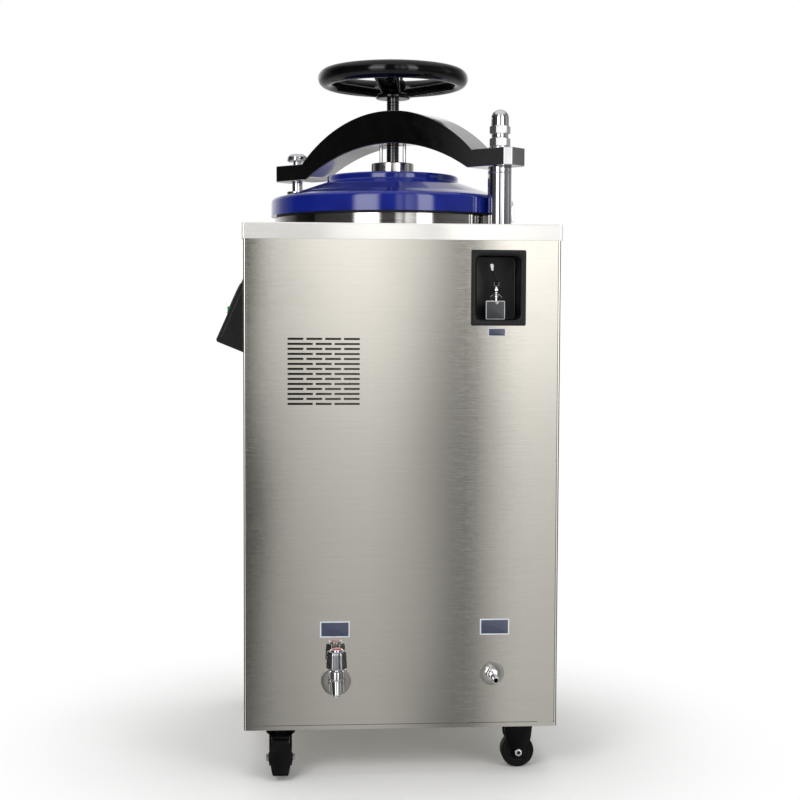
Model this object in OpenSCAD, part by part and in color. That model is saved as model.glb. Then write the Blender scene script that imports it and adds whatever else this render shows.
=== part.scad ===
/* [Cabinet] */
// Width and depth of the square cabinet
body_w = 510; // [490:1:560]
// Height of the cabinet from its foot to the top cover's lower edge
body_h = 792; // [770:1:860]
// Thickness of the panel sheet
sheet_t = 1.2; // [0.8:0.1:1.6]
// Outer radius of the bends at the cabinet's corners
bend_r = 3; // [2:0.5:3.5]
// Width of the strip that the front and back panels show round each corner
corner_strip_w = 4; // [4:0.5:8]
// Depth of the inward returns along the side panels' edges
return_d = 12; // [8:1:16]
// Open seam between neighbouring sheets
seam_gap = 0.5; // [0.3:0.1:0.8]
// Height of the top cover's skirt
cover_h = 26; // [24:1:40]
// Overhang of the top cover past the cabinet
cover_lip = 2.4; // [2:0.1:5]
// Thickness of the top cover
cover_t = 1.5; // [1:0.1:1.6]
// Corner radius of the top cover
cover_corner_r = 4; // [3:0.5:8]
// Length of panel hidden behind the cover's skirt
cover_tuck = 12; // [6:1:18]
// Height of the base pan's edge under the panels
base_edge_h = 7; // [5:1:12]
// Thickness of the base pan
pan_t = 3; // [2:0.5:4]
// Leg of the angle posts in the corners
post_leg = 25; // [20:1:32]
// Thickness of the angle posts
post_t = 3; // [2:0.5:4]

/* [Vent slots] */
// Length of a short slot
slot_l = 25; // [18:1:30]
// Height of a slot
slot_h = 3; // [2:0.5:4]
// Metal left between two slots of one row
slot_gap = 5; // [4:0.5:8]
// Distance between rows
slot_pitch = 8; // [6:0.5:10]
// Number of rows
vent_rows = 14; // [8:1:18]
// Distance of the slot field's middle from the low X side
vent_side = 128; // [110:1:160]
// Height of the middle of the slot field above the cabinet's foot
vent_z = 581; // [500:1:600]

/* [Vessel] */
// Room between the chamber's inner wall and the cabinet's sides
chamber_inset = 85; // [82:1:100]
// Height of the chamber's straight wall
chamber_wall_h = 530; // [500:5:560]
// Depth of the chamber's dished bottom
chamber_dish = 40; // [30:1:50]
// Wall thickness of the chamber
chamber_t = 3; // [2:0.5:4]
// Width of the flange ring round the chamber's mouth
flange_w = 34; // [30:1:38]
// Height of the flange above the top cover
flange_rise = 20; // [15:1:30]
// Whole height of the flange ring
flange_h = 42; // [40:1:60]
// Thickness of the two ears that carry the columns
ear_t = 16; // [12:1:18]
// Radius of the ears round the columns
ear_r = 30; // [26:1:32]
// Thickness of the insulation jacket
jacket_t = 28; // [15:1:32]
// Width of the stand's skirt under the chamber
stand_t = 6; // [4:1:10]
// Inset of the stand's skirt from the chamber's inner wall
stand_inset = 20; // [15:1:40]
// Width of the stand's foot ring
stand_foot_w = 18; // [12:1:22]
// Width of the windows in the stand's skirt
stand_window_w = 110; // [80:1:130]
// Height of the windows in the stand's skirt
stand_window_h = 150; // [100:1:160]

/* [Lid] */
// Overhang of the lid past the flange
lid_lip = 6.2; // [4:0.1:8]
// Space between the flange and the lid that the seal fills
lid_gap = 4; // [3:0.1:6]
// Height of the lid's rim
lid_rim_h = 32; // [26:0.5:36]
// Radius of the rim's upper corner
lid_corner_r = 8; // [4:0.5:10]
// Slope of the lid between its rim and its raised middle, in degrees
lid_slope = 17.5; // [14:0.1:22]
// Inset of the raised middle from the chamber's inner wall
plateau_inset = 54.5; // [45:0.5:70]
// Height of the step up to the raised middle
plateau_h = 11; // [8:0.5:14]
// Radius of the step's upper corner
plateau_corner_r = 4; // [2:0.5:6]
// Wall thickness of the lid's pressing
lid_t = 6; // [4:0.5:8]
// Thickness of the stainless liner under the lid
liner_t = 3; // [2:0.5:4]
// Radius of the liner past the chamber's wall
liner_over = 4; // [2:0.5:5]
// Width of the seal ring
seal_w = 20; // [14:1:22]
// Distance of the seal from the flange's outer edge
seal_inset = 3; // [2:0.5:6]
// Depth of the seal's groove in the lid
seal_sink = 3; // [2:0.5:4]
// Radius of the thrust disc on the lid
disc_r = 37.6; // [34:0.1:45]
// Height of the thrust disc
disc_h = 23; // [18:1:25]
// Depth of the spindle's socket in the disc
socket_d = 14; // [10:1:15]
// Radius of the guide rods
rod_r = 3; // [2.5:0.1:4]
// Distance of each guide rod from the spindle's axis
rod_spread = 27; // [22:0.5:30]
// Depth of the guide rods' seats in the disc
rod_seat = 8; // [5:1:10]
// Length of the guide rods above the disc
rod_l = 64; // [55:1:66]

/* [Columns and beam] */
// Radius of the two columns
column_r = 20; // [18:0.5:22]
// Clearance between a column and the lid's rim
column_clear = 2.3; // [2:0.1:6]
// Height of the columns above the top cover
column_rise = 88.5; // [84:0.5:100]
// Distance that the latch post's shoulder stands lower than the pivot column's
latch_drop = 7; // [0:0.5:12]
// Radius of the columns' studs
stud_r = 10; // [8:0.5:12]
// Length of the lower studs under the ears
stud_low_l = 18; // [16:1:24]
// Height of the bush between column and beam
bush_h = 11; // [8:0.5:16]
// Width over the flats of the column nuts
nut_af = 30; // [28:0.5:34]
// Height of the column nuts
nut_h = 14.5; // [12:0.5:16]
// Turn of the column nuts from the beam's line
nut_turn = -15; // [-30:1:30]
// Radius of the washer under the upper nut
washer_r = 18.5; // [18:0.5:20]
// Thickness of that washer
washer_t = 3.5; // [2:0.5:4]
// Height of the neck between nut and cap nut
neck_h = 6; // [3:0.5:8]
// Radius of the neck
neck_r = 14; // [12:0.5:15]
// Height of the hexagon of the cap nut
cap_hex_h = 14; // [10:0.5:18]
// Height of the dome of the cap nut
cap_dome_h = 27; // [20:0.5:30]
// Radius of the head of the latch post
head_r = 19.5; // [17:0.5:21]
// Height of the head of the latch post
head_h = 15.5; // [12:0.5:18]
// Radius of the neck under that head
head_neck_r = 8; // [6:0.5:9]
// Gap between the beam and the latch post's head
head_gap = 8; // [4:0.5:12]
// Size of the stop lug on the pivot column
lug_w = 8; // [6:1:10]
// Height of the stop lug
lug_h = 27; // [20:1:32]
// Distance that the stop lug stands out of the column
lug_out = 4; // [3:0.5:6]
// Thickness of the beam across its length
beam_t = 54; // [40:1:60]
// Height of the beam's flat ends
beam_end_h = 29; // [24:1:34]
// Length of the beam past a column's axis
beam_over = 38.5; // [28:0.5:42]
// Rise of the beam's upper arch above its flat ends
arch_top_rise = 80; // [74:1:86]
// Distance from a column's axis to the foot of the upper arch
arch_top_foot = 37.5; // [34:0.5:44]
// Rise of the beam's lower arch
arch_low_rise = 52.4; // [50:0.2:56]
// Distance from a column's axis to the foot of the lower arch
arch_low_foot = 48.5; // [44:0.5:56]
// Chamfer on the beam's end corners
beam_chamfer = 10; // [4:0.1:12]
// Width of the open slot for the latch post
latch_slot_w = 24; // [22:0.5:28]

/* [Spindle and handwheel] */
// Radius of the spindle
spindle_r = 11; // [9:0.5:12]
// Radius of the spindle's upper end in the wheel's hub
spindle_end_r = 9; // [7:0.5:10]
// Radius of the threaded nut in the beam
spindle_nut_r = 17; // [15:0.5:18]
// Length of the threaded nut
spindle_nut_h = 48; // [40:1:52]
// Radius of the grip ring, at the middle of its section
wheel_r = 116.8; // [105:0.2:125]
// Radius of the grip ring's section
grip_r = 15.1; // [13:0.1:17]
// Height of the hub's lower face above the beam's top
hub_lift = 23; // [15:1:30]
// Radius of the hub's lower disc
hub_r = 30; // [26:1:34]
// Height of the hub's lower disc
hub_disc_h = 8; // [5:1:10]
// Radius of the hub's boss
hub_boss_r = 22; // [18:1:24]
// Height of the hub
hub_h = 32; // [28:1:36]
// Height of the grip ring above the hub's lower face
grip_lift = 34.6; // [28:0.2:40]
// Number of spokes
spoke_n = 3; // [3:1:5]
// Turn of the first spoke, in degrees
spoke_turn = -100; // [-180:1:180]
// Width of a spoke at the hub
spoke_hub_w = 30; // [24:1:36]
// Width of a spoke at the grip ring
spoke_rim_w = 43; // [30:1:46]
// Thickness of a spoke's web
spoke_t = 6; // [4:0.5:8]
// Thickness of the ribs along a spoke
rib_t = 5; // [4:0.5:7]
// Height of the ribs under a spoke's web
rib_h = 9; // [6:0.5:12]
// Height of the hexagon of the wheel's cap nut
wheel_nut_h = 8; // [6:0.5:10]
// Width over the flats of the wheel's cap nut
wheel_nut_af = 30; // [28:0.5:34]

/* [Casters] */
// Height of a caster
caster_h = 77; // [75:1:90]
// Radius of a caster's wheel
tyre_r = 27; // [24:0.5:28]
// Width of a caster's wheel
tyre_w = 26; // [20:1:30]
// Radius of the rounded edges of the tread
tyre_edge_r = 5; // [3:0.5:7]
// Radius of an axle
axle_r = 4; // [3:0.5:5]
// Width over the flats of an axle's head and nut
axle_head_af = 11; // [10:0.5:13]
// Height of an axle's head and nut
axle_head_h = 5; // [3:0.5:6]
// Inset of the casters from the sides, across the width
caster_inset_x = 59; // [55:1:75]
// Inset of the casters from the sides, across the depth
caster_inset_y = 43; // [41:1:65]
// Trail of a swivel caster
trail = 25; // [20:0.5:28]
// Thickness of a fork's cheeks
cheek_t = 4; // [3:0.5:5]
// Clearance between the wheel and a cheek
cheek_gap = 1.5; // [1:0.1:2.5]
// Radius of a cheek's lower end
cheek_end_r = 11.5; // [9:0.5:13]
// Width of a fixed fork at its top
fixed_fork_w = 48; // [44:1:54]
// Thickness of the fork's top plates
plate_t = 3; // [2:0.5:4]
// Radius of the swivel housing
swivel_r = 24; // [22:0.5:26]
// Height of the swivel housing
swivel_h = 10; // [8:0.5:11]
// Height of the race between the plate and the housing
race_h = 3.8; // [3:0.1:5]
// Radius of the race
race_r = 19; // [16:0.5:21]
// Radius of the kingpin
kingpin_r = 5; // [4:0.5:6]
// Radius of the kingpin's head
kingpin_head_r = 9; // [7:0.5:11]
// Height of the kingpin's head
kingpin_head_h = 3; // [2:0.5:3.5]
// Reach of the brake pedal from the swivel axis
pedal_reach = 66; // [60:1:70]
// Width of the pedal at its shoulder
pedal_w = 37; // [32:1:40]
// Width of the pedal at its tip
pedal_tip_w = 26; // [20:1:30]
// Thickness of the pedal
pedal_t = 4; // [3:0.5:5]
// Radius of the pedal's pivot
pedal_pin_r = 2.5; // [2:0.25:3]

/* [Safety valve recess] */
// Distance of the recess's middle from the high X side
recess_side = 101.5; // [95:0.5:115]
// Height of the middle of the recess above the cabinet's foot
recess_z = 715.8; // [680:0.2:720]
// Width of the recess frame
recess_frame_w = 89; // [84:1:100]
// Height of the recess frame
recess_frame_h = 121.5; // [115:0.5:130]
// Thickness of the recess frame on the panel
recess_frame_t = 3; // [2:0.5:5]
// Width of the frame round the opening
recess_border = 9; // [7:0.5:11]
// Corner radius of the opening
recess_corner_r = 9; // [6:0.5:12]
// Depth of the recess behind the panel's face
recess_depth = 50; // [44:1:54]
// Wall thickness of the recess
recess_t = 2; // [1.5:0.1:2.5]
// Distance of the valve's axis behind the panel's face
valve_back = 19; // [18:0.5:22]
// Distance of the valve body's top below the recess's middle
valve_drop = 24.8; // [22:0.2:27]
// Sideways distance of the valve from the recess's middle
valve_side = -1; // [-4:0.5:4]
// Height of the valve's body
valve_body_h = 20; // [16:0.5:22]
// Radius of the valve's body
valve_body_r = 9; // [7:0.5:9.5]
// Radius of the valve's stem
stem_r = 2.5; // [2:0.1:3]
// Length of the stem between the body and the lever's pin
stem_l = 33; // [30:0.5:36]
// Radius of the collar on the stem
stem_collar_r = 6.5; // [5:0.5:7]
// Thickness of the collar on the stem
stem_collar_t = 3; // [2:0.5:4]
// Radius of the lever's pin
lever_pin_r = 1.25; // [1:0.05:1.5]
// Radius of the lever's eye
lever_eye_r = 3.2; // [2.8:0.1:4]
// Width of the lever's eye
lever_eye_w = 5; // [4:0.5:6]
// Thickness of the clevis ears at the lever's eye
clevis_t = 2; // [1.5:0.1:2.5]
// Length of the lever
lever_l = 31; // [24:0.5:34]
// Width of the lever at its free end
lever_w = 7; // [5:0.5:9]
// Thickness of the lever
lever_t = 2.4; // [2:0.1:3]
// Width of the hanging tag
tag_w = 31; // [26:0.5:34]
// Height of the hanging tag
tag_h = 30; // [24:0.5:31]
// Thickness of the hanging tag
tag_t = 1; // [0.8:0.1:1.5]
// Radius of the tag's wire loop
loop_r = 9.7; // [9:0.1:10.5]
// Radius of the loop's wire
wire_r = 0.8; // [0.6:0.1:1]

/* [Drain tap and steam nozzle] */
// Distance of the drain tap from the low X side
tap_side = 148.5; // [125:0.5:165]
// Height of the drain tap above the cabinet's foot
tap_z = 80; // [75:1:110]
// Radius of the tap's wall rose
rose_r = 24.4; // [22:0.2:28]
// Thickness of the tap's wall rose
rose_t = 3; // [2:0.5:4]
// Radius of the tap's horizontal body
tap_body_r = 9; // [8:0.5:10]
// Distance of the tap's valve from the panel
tap_valve_out = 30; // [26:0.5:32]
// Radius of the tap's valve housing
tap_valve_r = 11; // [10:0.5:12]
// Height of the valve housing above the tap's body axis
tap_valve_up = 24; // [20:0.5:26]
// Distance of the spout from the panel
spout_out = 43; // [40:0.5:46]
// Outer radius of the spout
spout_r = 7.2; // [6:0.1:8]
// Inner radius of the spout
spout_bore_r = 5; // [3.5:0.1:5.5]
// Length of the spout below the tap's body axis
spout_drop = 17.5; // [14:0.5:24]
// Length of the cuff that a hose is pushed over
spout_cuff = 6; // [4:0.5:6.5]
// Radius of the spout above the cuff
spout_neck_r = 6.6; // [6:0.1:7]
// Height of the tap's handle
tap_handle_h = 29; // [24:0.5:32]
// Width over the corners at the foot of the tap's handle
tap_handle_w = 34; // [30:0.5:38]
// Width over the corners at the top of the tap's handle
tap_handle_top_w = 30; // [26:0.5:34]
// Height of the round button on the tap's handle
tap_button_h = 3.5; // [2:0.5:5]
// Radius of that button
tap_button_r = 10; // [7:0.5:12]
// Distance of the steam nozzle from the high X side
nozzle_side = 107.5; // [95:0.5:125]
// Height of the steam nozzle above the cabinet's foot
nozzle_z = 89; // [75:1:110]
// Reach of the steam nozzle from the panel
nozzle_out = 50; // [40:0.5:50]
// Outer radius of the nozzle's tube
nozzle_r = 5.2; // [4.5:0.1:6]
// Inner radius of the nozzle's tube
nozzle_bore_r = 3.7; // [2.5:0.1:4]
// Width over the flats of the nozzle's hexagon
nozzle_hex_af = 17; // [14:0.5:20]
// Length of the nozzle's hexagon
nozzle_hex_l = 9; // [6:0.5:12]
// Radius of the dished seat round the nozzle
seat_r = 20; // [16:0.5:24]
// Thickness of the seat
seat_t = 1; // [0.8:0.1:2]

/* [Label plates] */
// Width of the two large plates
label_w = 48.2; // [40:0.2:56]
// Height of the two large plates
label_h = 26.4; // [20:0.2:30]
// Width of the small plate
label_small_w = 28; // [20:0.5:34]
// Height of the small plate
label_small_h = 13; // [9:0.5:14]
// Thickness of the plates
label_t = 0.6; // [0.4:0.1:1]
// Height of the plate over the tap above the tap's axis
tap_label_up = 84; // [76:1:100]
// Distance of that plate beside the tap's axis
tap_label_side = -1.9; // [-6:0.1:6]
// Height of the plate over the nozzle above the nozzle's axis
nozzle_label_up = 76.5; // [60:0.5:90]
// Distance of that plate beside the nozzle's axis
nozzle_label_side = 4; // [-6:0.1:6]
// Distance of the small plate under the recess frame
small_label_down = 4; // [3:0.5:8]

/* [Control box] */
// Width of the control box
box_w = 200; // [190:1:240]
// Height of the control box's slanted face above its lower corner
box_slant_h = 116.6; // [110:0.2:130]
// Reach of the control box from the cabinet
box_reach = 51.6; // [46:0.2:60]
// Height of the box's front corner over its foot at the cabinet
box_under_h = 21; // [16:0.5:26]
// Height of the control box's top above the cabinet's foot
box_top_z = 742.7; // [730:0.1:760]
// Wall thickness of the control box
box_t = 2.5; // [2:0.1:3]
// Radius of the control box's front corner
box_corner_r = 3; // [2.6:0.1:4]
// Thickness of the fascia
fascia_t = 2; // [1.5:0.1:2.4]
// Border of the control box round the fascia
fascia_border = 6; // [4:0.5:8]
// Radius of the pressure gauge's case over the box's width
gauge_r_share = 0.15; // [0.13:0.005:0.155]
// Distance that the gauge's rim stands proud of the fascia
gauge_proud = 7; // [5:0.5:9]
// Depth of the gauge's case behind the fascia
gauge_depth = 10; // [8:0.5:10]
// Width of the gauge's rim
gauge_rim_w = 3; // [2:0.5:4]
// Place of the gauge to the operator's right over the box's width
gauge_a_share = -0.29; // [-0.3:0.005:-0.27]
// Place of the gauge along the fascia's slope, upwards
gauge_b = 14; // [6:1:18]
// Length of the needle over the gauge's radius
needle_share = 0.7; // [0.5:0.01:0.72]
// Thickness of the needle
needle_t = 0.8; // [0.6:0.1:1]
// Place of the keys' row along the fascia's slope
key_b = -12; // [-18:1:-8]
// Place of the middle key over the box's width
key_a_share = 0.05; // [0.03:0.005:0.07]
// Distance between keys over the box's width
key_pitch_share = 0.12; // [0.1:0.005:0.13]
// Radius of a key over the box's width
key_r_share = 0.035; // [0.03:0.001:0.038]
// Distance that a key stands proud of the fascia
key_proud = 2.5; // [2:0.1:3.5]
// Place of the rocker switch over the box's width
rocker_a_share = 0.37; // [0.35:0.005:0.375]
// Place of the rocker switch along the fascia's slope
rocker_b = -14; // [-20:1:-10]
// Length of the rocker along the slope
rocker_l = 28; // [24:0.5:30]
// Width of the rocker over the box's width
rocker_w_share = 0.1; // [0.08:0.005:0.105]
// Depth of the rocker behind the fascia
rocker_depth = 7; // [5:0.5:9]
// Tilt of the rocker from level, in degrees
rocker_tilt = 12; // [8:0.5:13]
// Clearance round the rocker
rocker_gap = 1.2; // [1:0.1:2]

/* [Inside] */
// Inset of the heating ring from the chamber's inner wall
heater_inset = 65; // [60:1:80]
// Radius of the heating ring's tube
heater_tube_r = 6; // [4:0.5:7]
// Height of the heating ring over the dish's lowest point
heater_z = 40; // [36:1:44]
// Inset of the perforated grid from the chamber's inner wall
grid_inset = 10; // [6:1:30]
// Thickness of the grid
grid_t = 2; // [1.5:0.1:3]
// Height of the grid over the dish's lowest point
grid_z = 66; // [60:1:80]
// Radius of the grid's holes over their distance
grid_hole_share = 0.2; // [0.12:0.01:0.22]
// Rows of holes on each side of the grid's middle
grid_rows = 3; // [2:1:4]
// Radius of the grid's feet
grid_foot_r = 6; // [4:0.5:8]
// Inset of the basket from the chamber's inner wall
basket_inset = 15; // [15:1:40]
// Height of the basket
basket_h = 300; // [240:5:310]
// Thickness of the basket's sheet
basket_t = 1.5; // [1:0.1:2]
// Number of slots round the basket in each row
basket_slots = 16; // [12:2:20]
// Number of rows of slots
basket_rows = 3; // [2:1:4]
// Width of the basket's slots
basket_slot_w = 14; // [8:0.5:18]
// Radius of the basket's rolled rim
basket_rim_r = 2.5; // [2:0.1:3]
// Radius of the bail's wire
bail_r = 3; // [2.5:0.1:4]
// Radius of the probes in the dish
probe_r = 4; // [3:0.5:5]
// Length of the probes over the dish
probe_l = 30; // [20:1:36]
// Radius of the inner pipes
pipe_r = 7; // [6:0.5:8]
// Distance of the exhaust pipe behind the service panel
pipe_back = 63; // [60:1:70]
// Radius of the cable gland's bore
gland_bore_r = 5; // [4:0.25:6]
// Width over the flats of the cable gland
gland_af = 24; // [20:0.5:28]
// Reach of the cable gland from the panel
gland_out = 22; // [16:0.5:26]
// Distance of the cable gland from the high X side
gland_side = 105; // [75:1:135]
// Height of the cable gland above the cabinet's foot
gland_z = 60; // [50:1:90]

/* [Clearances] */
// Running clearance of a pin or shaft, on the radius
run_gap = 0.05; // [0.03:0.01:0.08]
// Clearance between faces that slide past each other
face_gap = 0.2; // [0.1:0.05:0.3]
// Clearance of parts that sit loosely
loose_gap = 0.3; // [0.2:0.05:0.5]

/* [Hidden] */
$fn = 64;

// Overrun of every cut past the faces that it opens
over = 1;
// Turn of the beam seen from above
beam_turn = -45;

// Plan and levels of the cabinet
half = body_w / 2;
vent_x = vent_side - half;
tap_x = tap_side - half;
recess_x = half - recess_side;
nozzle_x = half - nozzle_side;
gland_x = half - gland_side;
caster_x = half - caster_inset_x;
caster_y = half - caster_inset_y;
chamber_r = half - chamber_inset;
stand_r = chamber_r - stand_inset;
plateau_r = chamber_r - plateau_inset;
heater_ring_r = chamber_r - heater_inset;
grid_r = chamber_r - grid_inset;
grid_pitch = grid_r / (grid_rows + 1);
grid_hole_r = grid_pitch * grid_hole_share;
basket_r = chamber_r - basket_inset;
gauge_r = box_w * gauge_r_share;
gauge_a = box_w * gauge_a_share;
needle_l = gauge_r * needle_share;
key_a = box_w * key_a_share;
key_pitch = box_w * key_pitch_share;
key_r = box_w * key_r_share;
rocker_a = box_w * rocker_a_share;
rocker_w = box_w * rocker_w_share;
z_base = caster_h;
z_cover_low = z_base + body_h;
z_cover = z_cover_low + cover_h;
z_cover_under = z_cover - cover_t - loose_gap;
z_panel = z_base + base_edge_h + seam_gap;
panel_h = z_cover_low + cover_tuck - z_panel;
side_panel_half = half - corner_strip_w - seam_gap;
post_x = side_panel_half - sheet_t - loose_gap;
post_y = half - sheet_t - loose_gap;

// Vessel
z_flange = z_cover + flange_rise;
chamber_out_r = chamber_r + chamber_t;
flange_r = chamber_out_r + flange_w;
z_wall = z_flange - chamber_wall_h;
z_dish = z_wall - chamber_dish;
dish_r = arc_radius(chamber_r, chamber_dish);
z_dish_mid = z_dish + dish_r;
jacket_r = chamber_out_r + loose_gap + jacket_t;
// Height of the dish's inner face, and of its outer face, at a radius
function dish_z(r) = z_dish_mid - sqrt(dish_r * dish_r - r * r);
function dish_under_z(r) = z_dish_mid - sqrt(pow(dish_r + chamber_t, 2) - r * r);
// Distance between the heating ring's two legs, and half the angle between them
heater_leg_pitch = 32.85;
heater_leg_angle = asin(heater_leg_pitch / 2 / heater_ring_r);
// Turn of the probes, and the circle that they stand on inside the heating ring
probe_angles = [235, 305];
probe_clear = 1.5;
probe_ring = heater_ring_r - heater_tube_r - probe_r - probe_clear;

// Lid
z_lid = z_flange + lid_gap;
lid_r = flange_r + lid_lip;
lid_tangent_r = lid_r - lid_corner_r + lid_corner_r * sin(lid_slope);
lid_tangent_z = lid_rim_h - lid_corner_r + lid_corner_r * cos(lid_slope);
lid_cone_top = lid_tangent_z + (lid_tangent_r - plateau_r) * tan(lid_slope);
lid_h = lid_cone_top + plateau_h;
liner_r = chamber_r + liner_over;
seal_r = flange_r - seal_inset;
z_plateau = z_lid + lid_h;
z_disc = z_plateau + disc_h;
z_spindle_foot = z_disc - socket_d;

// Columns and beam
column_d = lid_r + column_clear + column_r;
z_column = z_cover + column_rise;
z_beam = z_column + bush_h + face_gap;
z_beam_top = z_beam + beam_end_h;
z_arch_low = z_beam + arch_low_rise;
z_arch_top = z_beam_top + arch_top_rise;
beam_reach = column_d + beam_over;
arch_top_r = arc_radius(column_d - arch_top_foot, arch_top_rise);
arch_low_r = arc_radius(column_d - arch_low_foot, arch_low_rise);
// Radius of an arc by half its chord and its rise
function arc_radius(half_chord, rise) = (half_chord * half_chord + rise * rise) / (2 * rise);
z_washer = z_beam_top + face_gap;
z_nut = z_washer + washer_t;
z_neck = z_nut + nut_h;
z_cap_hex = z_neck + neck_h;
z_head = z_beam_top + head_gap;
z_stud_low = z_cover_under - ear_t - stud_low_l;
head_dome_share = 0.55;

// Spindle and handwheel
z_hub = z_arch_top + hub_lift;
spoke_root = hub_disc_h;
spoke_slope = atan2(grip_lift - spoke_root - spoke_t / 2, wheel_r);
spoke_end = (wheel_r - grip_r / 2) / cos(spoke_slope);

// Casters
z_axle = tyre_r;
cheek_in = tyre_w / 2 + cheek_gap;
cheek_out = cheek_in + cheek_t;
z_plate = caster_h - plate_t;
z_housing = z_plate - race_h - swivel_h;
z_kingpin_head = z_housing - face_gap - kingpin_head_h;
pedal_pin_y = -trail - pedal_tip_w / 3;
pedal_pin_z = z_housing + pedal_pin_r / 2;
pedal_eye_r = 1.8 * pedal_pin_r;

// Recess and safety valve
z_recess = z_base + recess_z;
recess_w = recess_frame_w - 2 * recess_border;
recess_h = recess_frame_h - 2 * recess_border;
valve_x = recess_x + valve_side;
valve_y = -half + valve_back;
z_valve_top = z_recess - valve_drop;
z_nipple = z_valve_top - valve_body_h / 2;
z_lever_pin = z_valve_top + stem_l;
stem_collar_share = 0.62;
loop_tilt = 45;
loop_drop = loop_r * sin(loop_tilt);
loop_y = valve_y + stem_r + wire_r + loose_gap - loop_r * cos(loop_tilt);
z_loop = z_valve_top + wire_r + loose_gap + loop_drop;
tag_y = loop_y - loop_r * cos(loop_tilt);
z_tag_top = z_loop - loop_drop + 3 * tag_t;
tag_side = -tag_w / 12;

// Tap and nozzle
z_tap = z_base + tap_z;
z_nozzle = z_base + nozzle_z;
pipe_bore_r = pipe_r - chamber_t / 2;
pipe_y = -half + pipe_back;
tail_in = return_d + sheet_t;
tap_stem_r = tap_valve_r / 2;
tap_stem_h = tap_handle_h / 2;
z_tap_stem = z_tap + tap_valve_up;
z_tap_handle = z_tap_stem + pan_t;
z_branch = z_nipple + 3 * pipe_r;

// Control box
box_h = box_slant_h + box_under_h;
z_box = z_base + box_top_z - box_h;
box_slope_l = norm([box_reach, box_slant_h]);
box_under_l = norm([box_reach, box_under_h]);
box_tilt = atan2(box_reach, box_slant_h);
inner_top = box_h - box_t * box_slope_l / box_reach;
inner_low = box_t * box_under_l / box_reach;
inner_reach = box_reach * (inner_top - inner_low) / box_h;
inner_corner = inner_low + box_under_h * inner_reach / box_reach;
fascia_n = -loose_gap;
box_window_share = 0.62;
gauge_dial_n = gauge_proud - 2 * gauge_rim_w / 1.5;
needle_pin_r = needle_t;
rocker_end_h = rocker_l / 2 * tan(rocker_tilt);

// Basket
z_grid = z_dish + grid_z;
z_basket = z_grid + grid_t;
z_basket_rim = z_basket + basket_h;
z_bail = z_basket_rim + basket_rim_r + bail_r + loose_gap;
bail_ring_r = basket_r - bail_r - basket_t - loose_gap;
basket_slot_share = 0.62;

// Middle of the whole object's box, seen from above
x_low = -half - box_reach * (1 - box_corner_r / box_slope_l);
x_high = half + cover_lip;
y_low = -half - spout_out - tap_body_r;
y_high = half + gland_out;

// Moves a piece from the vessel's axis to the middle of the object's box
module placed() {
  translate([-(x_low + x_high) / 2, -(y_low + y_high) / 2, 0])
    children();
}

// Rectangle with round corners, about its middle
module rounded_rect(w, d, r) {
  square([w - 2 * r, d], center = true);
  square([w, d - 2 * r], center = true);
  for (sx = [-1, 1], sy = [-1, 1])
    translate([sx * (w / 2 - r), sy * (d / 2 - r)])
      circle(r);
}

// Block with round upright edges that stands on a level
module rounded_block(w, d, r, z_low, z_high) {
  translate([0, 0, z_low])
    linear_extrude(z_high - z_low)
      rounded_rect(w, d, r);
}

// Hexagon bar, by its width across the flats
module hexagon(af, h) {
  cylinder(h = h, r = af / 2 / cos(30), $fn = 6);
}

// Places a piece on a point, turned
module at(place, turn) {
  translate(place)
    rotate(turn)
      children();
}

// Block with its low corner on a point
module block(corner, size) {
  translate(corner)
    cube(size);
}

// Upright round bar that stands on a point
module rod(at, h, r) {
  translate(at)
    cylinder(h = h, r = r);
}

// Round bar between two points
module bar(a, b, r) {
  v = b - a;
  at(a, [0, acos(v[2] / norm(v)), atan2(v[1], v[0])])
    cylinder(h = norm(v), r = r);
}

// Ring of round section about the upright axis
module torus(ring_r, section_r) {
  rotate_extrude()
    translate([ring_r, 0])
      circle(section_r);
}

// Pipe along a list of points, with round elbows
module pipe_run(points, r) {
  for (i = [0 : len(points) - 2])
    bar(points[i], points[i + 1], r);
  for (i = [1 : len(points) - 2])
    translate(points[i])
      sphere(r);
}

// The same points with the two ends moved outwards, for a bore
function opened(points) = [
  for (i = [0 : len(points) - 1])
    i == 0 ? points[0] + over * unit(points[0] - points[1]) :
    i == len(points) - 1 ? points[i] + over * unit(points[i] - points[i - 1]) :
    points[i]
];
function unit(v) = v / norm(v);

module hollow_pipe(points) {
  difference() {
    pipe_run(points, pipe_r);
    pipe_run(opened(points), pipe_bore_r);
  }
}

// Turns a piece drawn along X onto the line of the two columns
module along_beam() {
  rotate([0, 0, beam_turn])
    children();
}

// Places a piece at a caster
module at_caster(sx, sy) {
  translate([sx * caster_x, sy * caster_y, 0])
    children();
}

// Flat side panel with inward returns along its upright edges
module side_sheet() {
  block([-side_panel_half, -half, z_panel], [2 * side_panel_half, sheet_t, panel_h]);
  for (sx = [-1, 1])
    translate([sx * (side_panel_half - sheet_t / 2) - sheet_t / 2, -half, z_panel])
      cube([sheet_t, return_d, panel_h]);
}

// Front or back panel, bent round the cabinet's corners on the low X side
module bent_sheet() {
  translate([0, 0, z_panel])
    linear_extrude(panel_h)
      intersection() {
        difference() {
          rounded_rect(body_w, body_w, bend_r);
          rounded_rect(body_w - 2 * sheet_t, body_w - 2 * sheet_t, bend_r - sheet_t);
        }
        translate([-half, -half])
          square([corner_strip_w, body_w]);
      }
}

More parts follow.
